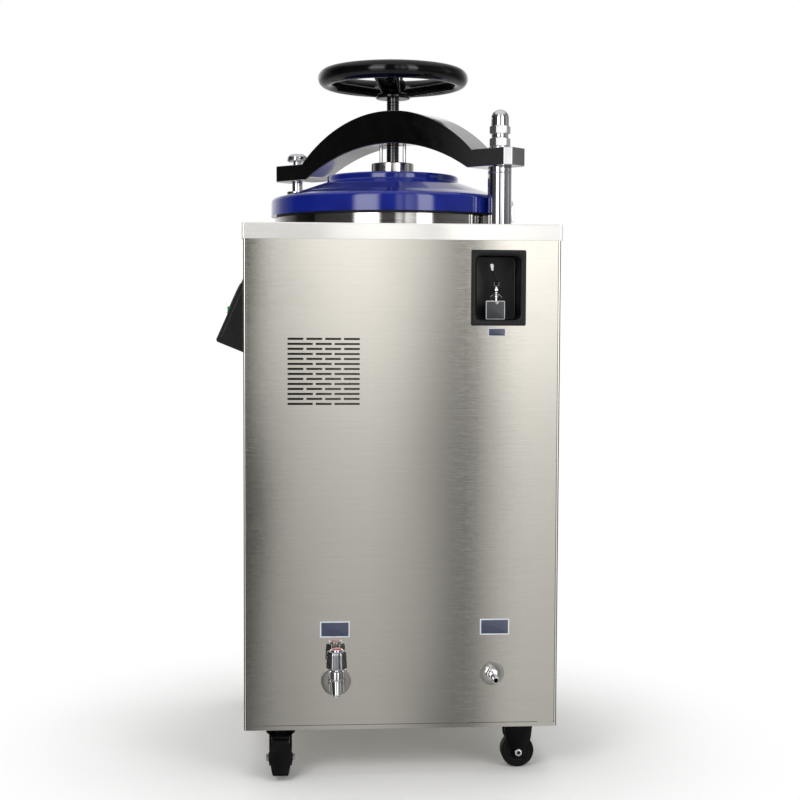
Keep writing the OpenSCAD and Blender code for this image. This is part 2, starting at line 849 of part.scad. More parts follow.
module base_frame() {
  color("dimgray") {
    difference() {
      rounded_block(body_w, body_w, bend_r, z_base, z_base + base_edge_h);
      translate([0, 0, z_base + pan_t + (base_edge_h - pan_t + over) / 2])
        cube([body_w - 2 * pan_t, body_w - 2 * pan_t, base_edge_h - pan_t + over], center = true);
    }
    for (turn = [0, 1], side = [0, 1])
      mirror([turn, 0, 0])
        mirror([0, side, 0])
          translate([-post_x, -post_y, z_base + pan_t / 2])
            difference() {
              cube([post_leg, post_leg, z_cover_under - z_base - pan_t / 2]);
              block([post_t, post_t, -over], [post_leg, post_leg, z_cover]);
            }
  }
}

module front_panel() {
  color("silver")
    difference() {
      bent_sheet();
      translate([-half, 0, z_box + box_h / 2])
        cube([2 * return_d, box_w * box_window_share, box_h * box_window_share], center = true);
    }
}

module back_panel() {
  color("silver")
    mirror([1, 0, 0])
      bent_sheet();
}

module vent_slot(x, z, l) {
  block([x - l / 2, -half - over, z - slot_h / 2], [l, sheet_t + 2 * over, slot_h]);
}

// Rows of four short slots, and between them rows of a short slot between two long ones
module vent_slots() {
  pitch = slot_l + slot_gap;
  long_l = slot_l + pitch / 2;
  for (row = [0 : vent_rows - 1]) {
    z = z_base + vent_z + ((vent_rows - 1) / 2 - row) * slot_pitch;
    if (row % 2 == 0)
      for (i = [-1.5 : 1 : 1.5])
        vent_slot(vent_x + i * pitch, z, slot_l);
    else {
      vent_slot(vent_x, z, slot_l);
      for (sx = [-1, 1])
        vent_slot(vent_x + sx * (slot_l / 2 + slot_gap + long_l / 2), z, long_l);
    }
  }
}

// Round hole through the low Y panel
module service_hole(x, z, r) {
  at([x, -half + sheet_t + over, z], [90, 0, 0])
    cylinder(h = sheet_t + 2 * over, r = r);
}

module service_panel() {
  color("silver")
    difference() {
      side_sheet();
      vent_slots();
      at([recess_x, -half + sheet_t + over, z_recess], [90, 0, 0])
        linear_extrude(sheet_t + 2 * over)
          rounded_rect(
            recess_w + 2 * recess_t + 2 * loose_gap,
            recess_h + 2 * recess_t + 2 * loose_gap,
            recess_corner_r + recess_t + loose_gap
          );
      service_hole(tap_x, z_tap, tap_body_r + loose_gap);
      service_hole(nozzle_x, z_nozzle, pipe_r + loose_gap);
    }
}

module left_panel() {
  color("silver")
    difference() {
      rotate([0, 0, 180])
        side_sheet();
      at([gland_x, half + over, z_base + gland_z], [90, 0, 0])
        cylinder(h = sheet_t + 2 * over, r = gland_af / 3 + loose_gap);
    }
}

module top_cover() {
  outer = body_w + 2 * cover_lip;
  color("silver")
    difference() {
      rounded_block(outer, outer, cover_corner_r, z_cover_low, z_cover);
      rounded_block(
        outer - 2 * cover_t, outer - 2 * cover_t, cover_corner_r - cover_t,
        z_cover_low - over, z_cover - cover_t
      );
      rod([0, 0, z_cover - cover_t - over], cover_t + 2 * over, flange_r + loose_gap);
      along_beam()
        for (sx = [-1, 1])
          rod([sx * column_d, 0, z_cover - cover_t - over], cover_t + 2 * over, column_r + loose_gap);
    }
}

module vessel_stand() {
  color("gray")
    difference() {
      rotate_extrude()
        difference() {
          union() {
            translate([stand_r, z_base + pan_t])
              square([stand_t, z_wall - z_base - pan_t]);
            translate([stand_r, z_base + pan_t])
              square([stand_t + stand_foot_w, pan_t]);
          }
          translate([0, z_dish_mid])
            circle(dish_r + chamber_t + loose_gap);
        }
      for (turn = [45, 135])
        rotate([0, 0, turn])
          translate([0, 0, z_tap])
            cube([3 * stand_r, stand_window_w, stand_window_h / 2 + z_tap - z_base], center = true);
    }
}

// Chamber as a half section, at its outer or its inner face
module chamber_section(r, ball_r, z_low, z_high) {
  translate([0, z_wall])
    square([r, z_high - z_wall]);
  intersection() {
    translate([0, z_dish_mid])
      circle(ball_r);
    translate([0, z_low])
      square([r, z_wall - z_low]);
  }
}

module chamber() {
  color("silver")
    difference() {
      rotate_extrude()
        difference() {
          chamber_section(chamber_out_r, dish_r + chamber_t, z_dish - 2 * chamber_t, z_flange);
          chamber_section(chamber_r, dish_r, z_dish - over, z_flange + over);
        }
      rod([0, 0, z_dish - 2 * chamber_t], 3 * chamber_t, pipe_r + run_gap);
      for (turn = [-1, 1])
        rotate([0, 0, 90 + turn * heater_leg_angle])
          rod([heater_ring_r, 0, z_dish - 2 * chamber_t], chamber_dish, heater_tube_r + run_gap);
      for (turn = probe_angles)
        rotate([0, 0, turn])
          rod([probe_ring, 0, z_dish - 2 * chamber_t], chamber_dish, probe_r + run_gap);
      rotate([0, 0, atan2(pipe_y, nozzle_x)])
        at([chamber_r - over, 0, z_branch], [0, 90, 0])
          cylinder(h = chamber_t + 2 * over, r = pipe_bore_r);
    }
}

module chamber_flange() {
  z_ear = z_cover_under - ear_t;
  color("silver")
    difference() {
      union() {
        rod([0, 0, z_flange - flange_h], flange_h, flange_r);
        along_beam() {
          block([-column_d, -ear_r, z_ear], [2 * column_d, 2 * ear_r, ear_t]);
          for (sx = [-1, 1])
            rod([sx * column_d, 0, z_ear], ear_t, ear_r);
        }
      }
      rod([0, 0, z_flange - flange_h - over], flange_h + 2 * over, chamber_out_r + run_gap);
      along_beam()
        for (sx = [-1, 1])
          rod([sx * column_d, 0, z_ear - over], ear_t + 2 * over, stud_r + run_gap);
    }
}

module insulation_jacket() {
  color("gainsboro")
    difference() {
      rod([0, 0, z_wall], z_flange - flange_h - loose_gap - z_wall, jacket_r);
      rod([0, 0, z_wall - over], chamber_wall_h, chamber_out_r + loose_gap);
      rotate([0, 0, atan2(pipe_y, nozzle_x)])
        at([chamber_r, 0, z_branch], [0, 90, 0])
          cylinder(h = 2 * jacket_t, r = pipe_r + loose_gap);
    }
}

// Closed ring of tube with two legs through the dish, each with a nut below
module heating_element() {
  z_ring = z_dish + heater_z;
  z_leg = z_dish - 2 * heater_ring_r / 5;
  color("darkgray") {
    translate([0, 0, z_ring])
      torus(heater_ring_r, heater_tube_r);
    for (turn = [-1, 1])
      rotate([0, 0, 90 + turn * heater_leg_angle])
        translate([heater_ring_r, 0, 0]) {
          rod([0, 0, z_leg], z_ring - z_leg, heater_tube_r);
          translate([0, 0, dish_under_z(heater_ring_r - 2 * heater_tube_r) - 3 * heater_tube_r])
            cylinder(h = 2 * heater_tube_r, r = 2 * heater_tube_r, $fn = 6);
        }
  }
}

module probes() {
  color("silver")
    for (turn = probe_angles)
      rotate([0, 0, turn])
        translate([probe_ring, 0, 0]) {
          rod([0, 0, dish_z(probe_ring) - 2 * probe_l], 3 * probe_l, probe_r);
          translate([0, 0, dish_under_z(probe_ring - 2 * probe_r) - 3 * probe_r])
            cylinder(h = 2 * probe_r, r = 2 * probe_r, $fn = 6);
        }
}

module drain_pipe() {
  color("silver")
    hollow_pipe([
      [0, 0, z_dish],
      [0, 0, z_tap],
      [tap_x, 0, z_tap],
      [tap_x, -half + tail_in + run_gap, z_tap]
    ]);
}

// Riser from the steam nozzle, with a branch to the chamber and a socket for the valve's nipple
module exhaust_pipe() {
  foot = [nozzle_x, pipe_y, z_nozzle];
  head = [nozzle_x, pipe_y, z_branch];
  reach = norm([nozzle_x, pipe_y]);
  wall = (chamber_out_r + face_gap) / reach;
  points = [
    [nozzle_x, -half + tail_in + run_gap, z_nozzle],
    foot,
    head,
    [nozzle_x * wall, pipe_y * wall, z_branch]
  ];
  socket_y = -half + recess_depth + 2 * recess_t;
  color("silver")
    difference() {
      union() {
        pipe_run(points, pipe_r);
        at([valve_x, pipe_y, z_nipple], [90, 0, 0])
          cylinder(h = pipe_y - socket_y, r = pipe_r + chamber_t);
      }
      pipe_run(opened(points), pipe_bore_r);
      at([valve_x, pipe_y, z_nipple], [90, 0, 0])
        cylinder(h = pipe_back, r = pipe_bore_r);
    }
}

module recess_box() {
  front = recess_frame_t + over;
  color([0.07, 0.07, 0.08])
    translate([recess_x, -half, z_recess])
      difference() {
        union() {
          rotate([90, 0, 0])
            linear_extrude(recess_frame_t)
              rounded_rect(recess_frame_w, recess_frame_h, recess_frame_t);
          at([0, recess_depth + recess_t, 0], [90, 0, 0])
            linear_extrude(recess_depth + recess_t)
              rounded_rect(
                recess_w + 2 * recess_t, recess_h + 2 * recess_t, recess_corner_r + recess_t
              );
        }
        at([0, recess_depth, 0], [90, 0, 0])
          linear_extrude(recess_depth + front)
            rounded_rect(recess_w, recess_h, recess_corner_r);
        at([valve_side, recess_depth + recess_t + over, z_nipple - z_recess], [90, 0, 0])
          cylinder(h = recess_t + 2 * over, r = pipe_r + loose_gap);
      }
}

module safety_valve() {
  ear_in = lever_eye_w / 2 + face_gap;
  ear_out = ear_in + clevis_t;
  socket_y = -half + recess_depth + 2 * recess_t;
  color("gainsboro")
    translate([valve_x, valve_y, 0]) {
      difference() {
        union() {
          rod([0, 0, z_valve_top - valve_body_h], valve_body_h, valve_body_r);
          at([0, 0, z_nipple], [-90, 0, 0])
            cylinder(h = socket_y - valve_y - run_gap, r = pipe_r);
        }
        at([0, 0, z_nipple], [-90, 0, 0])
          cylinder(h = recess_depth, r = pipe_bore_r - chamber_t / 2);
      }
      rod([0, 0, z_valve_top - over], stem_l - 2 * lever_eye_r + over, stem_r);
      rod([0, 0, z_valve_top + stem_l * stem_collar_share], stem_collar_t, stem_collar_r);
      translate([0, 0, z_lever_pin]) {
        difference() {
          union() {
            translate([-ear_out, -lever_eye_r, -2 * lever_eye_r])
              cube([2 * ear_out, 2 * lever_eye_r, 2 * lever_eye_r]);
            rotate([0, 90, 0])
              cylinder(h = 2 * ear_out, r = lever_eye_r, center = true);
          }
          translate([-ear_in, -lever_eye_r - over, -lever_eye_r - loose_gap])
            cube([2 * ear_in, 2 * lever_eye_r + 2 * over, 3 * lever_eye_r]);
        }
        rotate([0, 90, 0])
          cylinder(h = 2 * ear_out, r = lever_pin_r, center = true);
      }
    }
}

// Pull lever of the valve: its places are shares of its length and of its width
module valve_lever() {
  rise_shares = [0, 0.19, 0.38, 0.7, 0.97, 1];
  lean_shares = [0, 0, -0.18, -0.21, -0.245, -0.25];
  width_shares = [0.45, 0.45, 0.4, 0.5, 1, 0.7];
  last = len(rise_shares) - 1;
  color("white")
    translate([valve_x, valve_y, z_lever_pin])
      difference() {
        union() {
          rotate([0, 90, 0])
            cylinder(h = lever_eye_w, r = lever_eye_r, center = true);
          at([0, lever_t / 2, 0], [90, 0, 0])
            linear_extrude(lever_t)
              polygon([
                for (i = [0 : last])
                  [lever_l * lean_shares[i] + lever_w * width_shares[i] / 2, lever_l * rise_shares[i]],
                for (i = [last : -1 : 0])
                  [lever_l * lean_shares[i] - lever_w * width_shares[i] / 2, lever_l * rise_shares[i]]
              ]);
        }
        rotate([0, 90, 0])
          cylinder(h = 2 * lever_eye_w, r = lever_pin_r + run_gap, center = true);
      }
}

// Blank tag on a wire loop that hangs round the valve's stem
module valve_tag() {
  color("lightgray") {
    at([valve_x, loop_y, z_loop], [loop_tilt, 0, 0])
      torus(loop_r, wire_r);
    block([valve_x + tag_side - tag_w / 2, tag_y - tag_t / 2, z_tag_top - tag_h], [tag_w, tag_t, tag_h]);
  }
}

// Blank plate on the low Y panel
module label_plate(x, z, w, h) {
  block([x - w / 2, -half - label_t, z - h / 2], [w, label_t, h]);
}

module label_plates() {
  color("slategray") {
    label_plate(tap_x + tap_label_side, z_tap + tap_label_up, label_w, label_h);
    label_plate(nozzle_x + nozzle_label_side, z_nozzle + nozzle_label_up, label_w, label_h);
    label_plate(
      recess_x + 2 * valve_side,
      z_recess - recess_frame_h / 2 - small_label_down - label_small_h / 2,
      label_small_w, label_small_h
    );
  }
}

module tap_rose() {
  color("silver")
    at([tap_x, -half, z_tap], [90, 0, 0])
      difference() {
        union() {
          cylinder(h = rose_t / 2, r = rose_r);
          cylinder(h = rose_t, r = rose_r - rose_t);
        }
        rod([0, 0, -over], rose_t + 2 * over, tap_body_r + loose_gap);
      }
}

module drain_tap() {
  color("gainsboro")
    translate([tap_x, -half, z_tap])
      difference() {
        union() {
          at([0, tail_in, 0], [90, 0, 0])
            cylinder(h = tail_in + spout_out, r = tap_body_r);
          translate([0, -spout_out, 0])
            sphere(tap_body_r);
          rod([0, -spout_out, -spout_drop], spout_cuff, spout_r);
          rod([0, -spout_out, -spout_drop], spout_drop, spout_neck_r);
          rod([0, -tap_valve_out, -tap_valve_r], tap_valve_r + tap_valve_up, tap_valve_r);
          rod([0, -tap_valve_out, 0], tap_valve_up + tap_stem_h, tap_stem_r);
        }
        at([0, tail_in + over, 0], [90, 0, 0])
          cylinder(h = tail_in + spout_out + over, r = spout_bore_r);
        rod([0, -spout_out, -spout_drop - over], spout_drop + over, spout_bore_r);
      }
}

module tap_handle() {
  color("gainsboro")
    translate([tap_x, -half - tap_valve_out, z_tap_handle])
      difference() {
        union() {
          cylinder(h = tap_handle_h, r1 = tap_handle_w / 2, r2 = tap_handle_top_w / 2, $fn = 6);
          rod([0, 0, tap_handle_h], tap_button_h, tap_button_r);
        }
        rod([0, 0, -over], tap_stem_h - pan_t + loose_gap + over, tap_stem_r + run_gap);
      }
}

module steam_nozzle() {
  color("gainsboro")
    at([nozzle_x, -half - seat_t, z_nozzle], [90, 0, 0])
      difference() {
        union() {
          rod([0, 0, -seat_t - tail_in], tail_in + 2 * seat_t, pipe_r);
          hexagon(nozzle_hex_af, nozzle_hex_l);
          cylinder(h = nozzle_out - seat_t, r = nozzle_r);
        }
        rod([0, 0, -2 * tail_in], nozzle_out + 3 * tail_in, nozzle_bore_r);
      }
}

module nozzle_seat() {
  color("silver")
    at([nozzle_x, -half, z_nozzle], [90, 0, 0])
      difference() {
        cylinder(h = seat_t, r = seat_r);
        rod([0, 0, -over], seat_t + 2 * over, pipe_r + loose_gap);
      }
}

// Extrudes an outline of reach and height into a prism that stands out of the front panel
module front_prism(points, w) {
  translate([-half, 0, z_box])
    mirror([1, 0, 0])
      at([0, w / 2, 0], [90, 0, 0])
        linear_extrude(w)
          polygon(points);
}

// Frame of the slanted face: across to the operator's right, up the slope, outwards
module on_slope() {
  at([-half - box_reach / 2, 0, z_box + box_under_h + box_slant_h / 2], [90 - box_tilt, 0, -90])
    children();
}

module control_box() {
  nose_up = box_corner_r / box_slope_l;
  nose_in = box_corner_r / box_under_l;
  color([0.08, 0.08, 0.09])
    difference() {
      front_prism([
        [0, 0],
        [box_reach * (1 - nose_in), box_under_h * (1 - nose_in)],
        [box_reach * (1 - nose_up), box_under_h + box_slant_h * nose_up],
        [0, box_h]
      ], box_w);
      front_prism([
        [-over, inner_low],
        [0, inner_low],
        [inner_reach, inner_corner],
        [0, inner_top],
        [-over, inner_top]
      ], box_w - 2 * box_t);
      on_slope()
        translate([0, 0, -box_t])
          cube([
            box_w - 2 * fascia_border, box_slope_l - 2 * fascia_border - box_corner_r, 2 * box_t + over
          ], center = true);
    }
}

module control_fascia() {
  color([0.16, 0.17, 0.19])
    on_slope()
      difference() {
        translate([0, 0, fascia_n - fascia_t / 2])
          cube([
            box_w - 2 * fascia_border - 2 * loose_gap,
            box_slope_l - 2 * fascia_border - box_corner_r - 2 * loose_gap,
            fascia_t
          ], center = true);
        rod([gauge_a, gauge_b, -2 * fascia_t], 3 * fascia_t, gauge_r - gauge_rim_w);
        for (i = [-1, 0, 1])
          rod([key_a + i * key_pitch, key_b, -2 * fascia_t], 3 * fascia_t, key_r + loose_gap);
        translate([rocker_a, rocker_b, 0])
          cube([rocker_w + 2 * rocker_gap, rocker_l + 2 * rocker_gap, 3 * fascia_t], center = true);
      }
}

module gauge_case() {
  color("black")
    on_slope()
      translate([gauge_a, gauge_b, 0]) {
        difference() {
          union() {
            rod([0, 0, -gauge_depth], gauge_depth + over, gauge_r - gauge_rim_w - loose_gap);
            rod([0, 0, fascia_n], gauge_proud - fascia_n, gauge_r);
          }
          rod([0, 0, gauge_dial_n], gauge_proud, gauge_r - gauge_rim_w);
        }
        rod([0, 0, gauge_dial_n - over], 3 * needle_t + over, needle_pin_r);
      }
}

// Tapered needle that points down and to the left at rest
module gauge_needle() {
  tip_share = 0.3;
  tail_share = 0.3;
  hub = 2.5 * needle_pin_r;
  color("black")
    on_slope()
      at([gauge_a, gauge_b, gauge_dial_n + needle_t], [0, 0, 225])
        difference() {
          union() {
            cylinder(h = needle_t, r = hub);
            linear_extrude(needle_t)
              polygon([
                [-needle_l * tail_share, -needle_t], [needle_l, -needle_t * tip_share],
                [needle_l, needle_t * tip_share], [-needle_l * tail_share, needle_t]
              ]);
          }
          rod([0, 0, -over], needle_t + 2 * over, needle_pin_r + run_gap);
        }
}

module key(i) {
  color("gainsboro")
    on_slope()
      rod([key_a + i * key_pitch, key_b, -2 * fascia_t], 2 * fascia_t + key_proud, key_r);
}

// Rocker with a shallow V on top, resting with its upper end out
module rocker_switch() {
  foot_share = 0.44;
  color([0.1, 0.45, 0.2])
    on_slope()
      at([rocker_a, rocker_b, -rocker_depth / 2], [rocker_tilt, 0, 0])
        rotate([90, 0, 90])
          linear_extrude(rocker_w, center = true)
            polygon([
              [-rocker_l * foot_share, -rocker_depth / 2],
              [rocker_l * foot_share, -rocker_depth / 2],
              [rocker_l / 2, rocker_depth / 2 + rocker_end_h],
              [0, rocker_depth / 2],
              [-rocker_l / 2, rocker_depth / 2 + rocker_end_h]
            ]);
}

module power_gland() {
  thread_r = gland_af / 3;
  color("black")
    at([gland_x, half, z_base + gland_z], [-90, 0, 0])
      difference() {
        union() {
          hexagon(gland_af, gland_out / 3);
          cylinder(h = gland_out, r = gland_af / 2 - pan_t / 2);
          rod([0, 0, -tail_in], tail_in + over, thread_r);
        }
        rod([0, 0, -tail_in - over], gland_out + tail_in + 2 * over, gland_bore_r);
      }
}

module pivot_column() {
  z_top = z_cap_hex + cap_hex_h;
  color("gainsboro")
    along_beam()
      translate([column_d, 0, 0]) {
        rod([0, 0, z_cover_under], z_column - z_cover_under, column_r);
        rod([0, 0, z_stud_low], z_top - z_stud_low, stud_r);
        rotate([0, 0, -beam_turn])
          block([0, -lug_w / 2, z_cover + lug_w], [column_r + lug_out, lug_w, lug_h]);
      }
}

module latch_post() {
  dome_r = head_r / head_dome_share / 1.6;
  color("gainsboro")
    along_beam()
      translate([-column_d, 0, 0]) {
        rod([0, 0, z_cover_under], z_column - latch_drop - z_cover_under, column_r);
        rod([0, 0, z_stud_low], z_beam_top + head_gap / 4 - z_stud_low, stud_r);
        rod([0, 0, z_beam_top], head_gap + over, head_neck_r);
        translate([0, 0, z_head])
          intersection() {
            cylinder(h = head_h, r = head_r);
            translate([0, 0, head_h - dome_r])
              sphere(dome_r);
          }
      }
}

// Bush under the beam and washer over it
module pivot_bushes() {
  color("gainsboro")
    along_beam()
      translate([column_d, 0, 0]) {
        difference() {
          rod([0, 0, z_column], bush_h, column_r);
          rod([0, 0, z_column - over], bush_h + 2 * over, stud_r + run_gap);
        }
        difference() {
          rod([0, 0, z_washer], washer_t, washer_r);
          rod([0, 0, z_washer - over], washer_t + 2 * over, stud_r + run_gap);
        }
      }
}

module column_nut(x, z) {
  translate([x, 0, z])
    difference() {
      rotate([0, 0, nut_turn])
        hexagon(nut_af, nut_h);
      rod([0, 0, -over], nut_h + 2 * over, stud_r + run_gap);
    }
}

module column_nuts() {
  z_low = z_cover_under - ear_t - nut_h;
  color("gainsboro")
    along_beam() {
      column_nut(column_d, z_nut);
      column_nut(column_d, z_low);
      column_nut(-column_d, z_low);
    }
}

module cap_nut() {
  dome_r = nut_af / 2 - run_gap;
  color("gainsboro")
    along_beam()
      translate([column_d, 0, z_neck])
        difference() {
          union() {
            cylinder(h = neck_h, r = neck_r);
            at([0, 0, neck_h], [0, 0, nut_turn])
              hexagon(nut_af, cap_hex_h);
            rod([0, 0, neck_h + cap_hex_h - over], cap_dome_h - dome_r + over, dome_r);
            translate([0, 0, neck_h + cap_hex_h + cap_dome_h - dome_r])
              sphere(dome_r);
          }
          rod([0, 0, -over], neck_h + cap_hex_h + over + run_gap, stud_r + run_gap);
        }
}

// Side view of the beam: flat ends joined by two arcs
module beam_outline() {
  difference() {
    union() {
      translate([-beam_reach, 0])
        square([2 * beam_reach, beam_end_h]);
      intersection() {
        translate([0, beam_end_h + arch_top_rise - arch_top_r])
          circle(arch_top_r);
        translate([-beam_reach, 0])
          square([2 * beam_reach, beam_end_h + arch_top_rise]);
      }
    }
    translate([0, arch_low_rise - arch_low_r])
      circle(arch_low_r);
  }
}

// Plan view of the beam with chamfered end corners
module beam_plan() {
  w = beam_t / 2;
  polygon([
    for (turn = [[1, 1], [-1, 1], [-1, -1], [1, -1]])
      for (end = turn[0] * turn[1] > 0 ? [0, 1] : [1, 0])
        [turn[0] * (beam_reach - end * beam_chamfer), turn[1] * (w - (1 - end) * beam_chamfer)]
  ]);
}

module beam() {
  color([0.2, 0.2, 0.22])
    along_beam()
      translate([0, 0, z_beam])
        difference() {
          intersection() {
            at([0, beam_t / 2, 0], [90, 0, 0])
              linear_extrude(beam_t)
                beam_outline();
            linear_extrude(beam_end_h + arch_top_rise)
              beam_plan();
          }
          rod([column_d, 0, -over], beam_end_h + arch_top_rise, stud_r + run_gap);
          rod([-column_d, 0, -over], beam_end_h + 2 * over, latch_slot_w / 2);
          block([-column_d - latch_slot_w / 2, 0, -over], [latch_slot_w, beam_t, beam_end_h + 2 * over]);
          rod([0, 0, arch_low_rise - over], spindle_nut_h + over, spindle_nut_r + run_gap);
          cylinder(h = beam_end_h + arch_top_rise + over, r = spindle_r + loose_gap);
          for (sx = [-1, 1])
            rod([sx * rod_spread, 0, 0], beam_end_h + arch_top_rise + over, rod_r + loose_gap);
        }
}

module spindle_nut() {
  color("goldenrod")
    along_beam()
      difference() {
        rod([0, 0, z_arch_low], spindle_nut_h - run_gap, spindle_nut_r);
        rod([0, 0, z_arch_low - over], spindle_nut_h + 2 * over, spindle_r + run_gap);
      }
}

// Half section of the lid's outer form
module lid_section() {
  square([lid_r, lid_rim_h - lid_corner_r]);
  translate([lid_r - lid_corner_r, lid_rim_h - lid_corner_r])
    intersection() {
      circle(lid_corner_r);
      translate([0, 0])
        square(lid_corner_r);
    }
  polygon([
    [0, 0],
    [lid_r - lid_corner_r, 0],
    [lid_r - lid_corner_r, lid_rim_h - lid_corner_r],
    [lid_tangent_r, lid_tangent_z],
    [plateau_r, lid_cone_top],
    [plateau_r, lid_h - plateau_corner_r],
    [plateau_r - plateau_corner_r, lid_h - plateau_corner_r],
    [plateau_r - plateau_corner_r, lid_h],
    [0, lid_h]
  ]);
  translate([plateau_r - plateau_corner_r, lid_h - plateau_corner_r])
    intersection() {
      circle(plateau_corner_r);
      square(plateau_corner_r);
    }
}

module lid() {
  hollow_rim_z = lid_rim_h - lid_corner_r - lid_t;
  color([0.1, 0.14, 0.6])
    translate([0, 0, z_lid])
      rotate_extrude()
        difference() {
          lid_section();
          translate([0, -over])
            square([liner_r + run_gap, liner_t + over]);
          polygon([
            [0, liner_t],
            [chamber_r, liner_t],
            [chamber_r, hollow_rim_z],
            [plateau_r - lid_t, lid_cone_top - lid_t],
            [plateau_r - lid_t, lid_h - lid_t],
            [0, lid_h - lid_t]
          ]);
          translate([seal_r - seal_w, -over])
            square([seal_w, seal_sink + over]);
        }
}

module lid_liner() {
  color("silver")
    rod([0, 0, z_lid], liner_t, liner_r);
}

module lid_seal() {
  color("black")
    translate([0, 0, z_flange + loose_gap])
      rotate_extrude()
        translate([seal_r - seal_w + run_gap, 0])
          square([seal_w - 2 * run_gap, lid_gap + seal_sink - loose_gap]);
}

module thrust_disc() {
  color("darkgray")
    difference() {
      rod([0, 0, z_plateau], disc_h, disc_r);
      rod([0, 0, z_spindle_foot - face_gap], socket_d + 2 * over, spindle_r + run_gap);
      along_beam()
        for (sx = [-1, 1])
          rod([sx * rod_spread, 0, z_disc - rod_seat], rod_seat + over, rod_r + run_gap);
    }
}

module guide_rods() {
  color("silver")
    along_beam()
      for (sx = [-1, 1])
        rod([sx * rod_spread, 0, z_disc - rod_seat], rod_seat + rod_l, rod_r);
}

module spindle() {
  color("gray") {
    rod([0, 0, z_spindle_foot], z_hub - z_spindle_foot, spindle_r);
    rod([0, 0, z_hub - over], hub_h + wheel_nut_h + over, spindle_end_r);
  }
}

// Spoke along X: a tapered web with a rib under each edge
module spoke() {
  at([0, 0, spoke_root], [0, -spoke_slope, 0]) {
    linear_extrude(spoke_t)
      polygon([
        [0, -spoke_hub_w / 2], [spoke_end, -spoke_rim_w / 2],
        [spoke_end, spoke_rim_w / 2], [0, spoke_hub_w / 2]
      ]);
    for (side = [0, 1])
      mirror([0, side, 0])
        translate([0, 0, -rib_h])
          linear_extrude(rib_h + spoke_t / 2)
            polygon([
              [hub_boss_r, spoke_hub_w / 2 - rib_t], [spoke_end, spoke_rim_w / 2 - rib_t],
              [spoke_end, spoke_rim_w / 2], [hub_boss_r, spoke_hub_w / 2]
            ]);
  }
}

module handwheel() {
  color([0.05, 0.05, 0.06])
    translate([0, 0, z_hub])
      difference() {
        union() {
          translate([0, 0, grip_lift])
            torus(wheel_r, grip_r);
          cylinder(h = hub_disc_h, r = hub_r);
          cylinder(h = hub_h, r = hub_boss_r);
          for (i = [0 : spoke_n - 1])
            rotate([0, 0, spoke_turn + i * 360 / spoke_n])
              spoke();
        }
        rod([0, 0, -over], hub_h + 2 * over, spindle_end_r + run_gap);
        rod([0, 0, hub_h], grip_r, hub_boss_r + over);
      }
}

module wheel_nut() {
  cap_r = wheel_nut_af / 2 - run_gap;
  color("gainsboro")
    translate([0, 0, z_hub + hub_h])
      difference() {
        union() {
          hexagon(wheel_nut_af, wheel_nut_h);
          translate([0, 0, wheel_nut_h])
            intersection() {
              sphere(cap_r);
              cylinder(h = cap_r / 2, r = cap_r);
            }
        }
        rod([0, 0, -over], wheel_nut_h + over + run_gap, spindle_end_r + run_gap);
      }
}

module support_grid() {
  foot_ring = grid_r - 2 * grid_foot_r;
  color("silver") {
    difference() {
      rod([0, 0, z_grid], grid_t, grid_r);
      for (i = [-grid_rows : grid_rows], j = [-grid_rows : grid_rows])
        if (norm([i, j]) < grid_rows + 1 / 3)
          rod([i * grid_pitch, j * grid_pitch, z_grid - over], grid_t + 2 * over, grid_hole_r);
    }
    for (turn = [0 : 90 : 270])
      rotate([0, 0, turn])
        translate([foot_ring, 0, dish_z(foot_ring + grid_foot_r) + loose_gap])
          cylinder(
            h = z_grid + grid_t / 2 - dish_z(foot_ring + grid_foot_r) - loose_gap,
            r = grid_foot_r
          );
  }
}

// Sheet basket with rows of slots, a rolled rim and two ears for the bail
module basket() {
  row_pitch = basket_h / basket_rows;
  ear_w = 6 * bail_r;
  ear_h = z_bail + ear_w / 2 - z_basket_rim;
  color("silver") {
    difference() {
      rod([0, 0, z_basket], basket_h + ear_h, basket_r);
      rod([0, 0, z_basket + basket_t], basket_h + ear_h, basket_r - basket_t);
      for (side = [-1, 1])
        translate([side * (ear_w / 2 + basket_r), 0, z_basket_rim + ear_h])
          cube([2 * basket_r, 3 * basket_r, 2 * ear_h], center = true);
      at([0, 0, z_bail], [90, 0, 0])
        cylinder(h = 3 * basket_r, r = bail_r + run_gap, center = true);
      for (row = [0 : basket_rows - 1], i = [0 : basket_slots / 2 - 1])
        rotate([0, 0, (i + 0.5) * 360 / basket_slots])
          translate([0, 0, z_basket + (row + 0.5) * row_pitch])
            cube([3 * basket_r, basket_slot_w, row_pitch * basket_slot_share], center = true);
    }
    translate([0, 0, z_basket_rim])
      torus(basket_r, basket_rim_r);
  }
}

// Half ring of wire that lies on the rim, with a trunnion at each end
module basket_bail() {
  reach = bail_ring_r + bail_r;
  color("silver")
    translate([0, 0, z_bail]) {
      intersection() {
        torus(bail_ring_r, bail_r);
        block([0, -reach, -bail_r], [reach, 2 * reach, 2 * bail_r]);
      }
      for (side = [0, 1])
        mirror([0, side, 0])
          at([0, bail_ring_r, 0], [-90, 0, 0])
            cylinder(h = basket_r + basket_t - bail_ring_r, r = bail_r);
    }
}

// Axle along Y with a hexagon head and nut
module axle() {
  reach = cheek_out + axle_head_h;
  rotate([90, 0, 0]) {
    cylinder(h = 2 * reach, r = axle_r, center = true);
    for (side = [0, 1])
      mirror([0, 0, side])
        translate([0, 0, cheek_out])
          hexagon(axle_head_af, axle_head_h);
  }
}

// One cheek outline of a fork, of width and height, extruded on both sides of the wheel
module cheeks() {
  for (side = [0, 1])
    mirror([0, side, 0])
      at([0, cheek_out, 0], [90, 0, 0])
        linear_extrude(cheek_t)
          children();
}

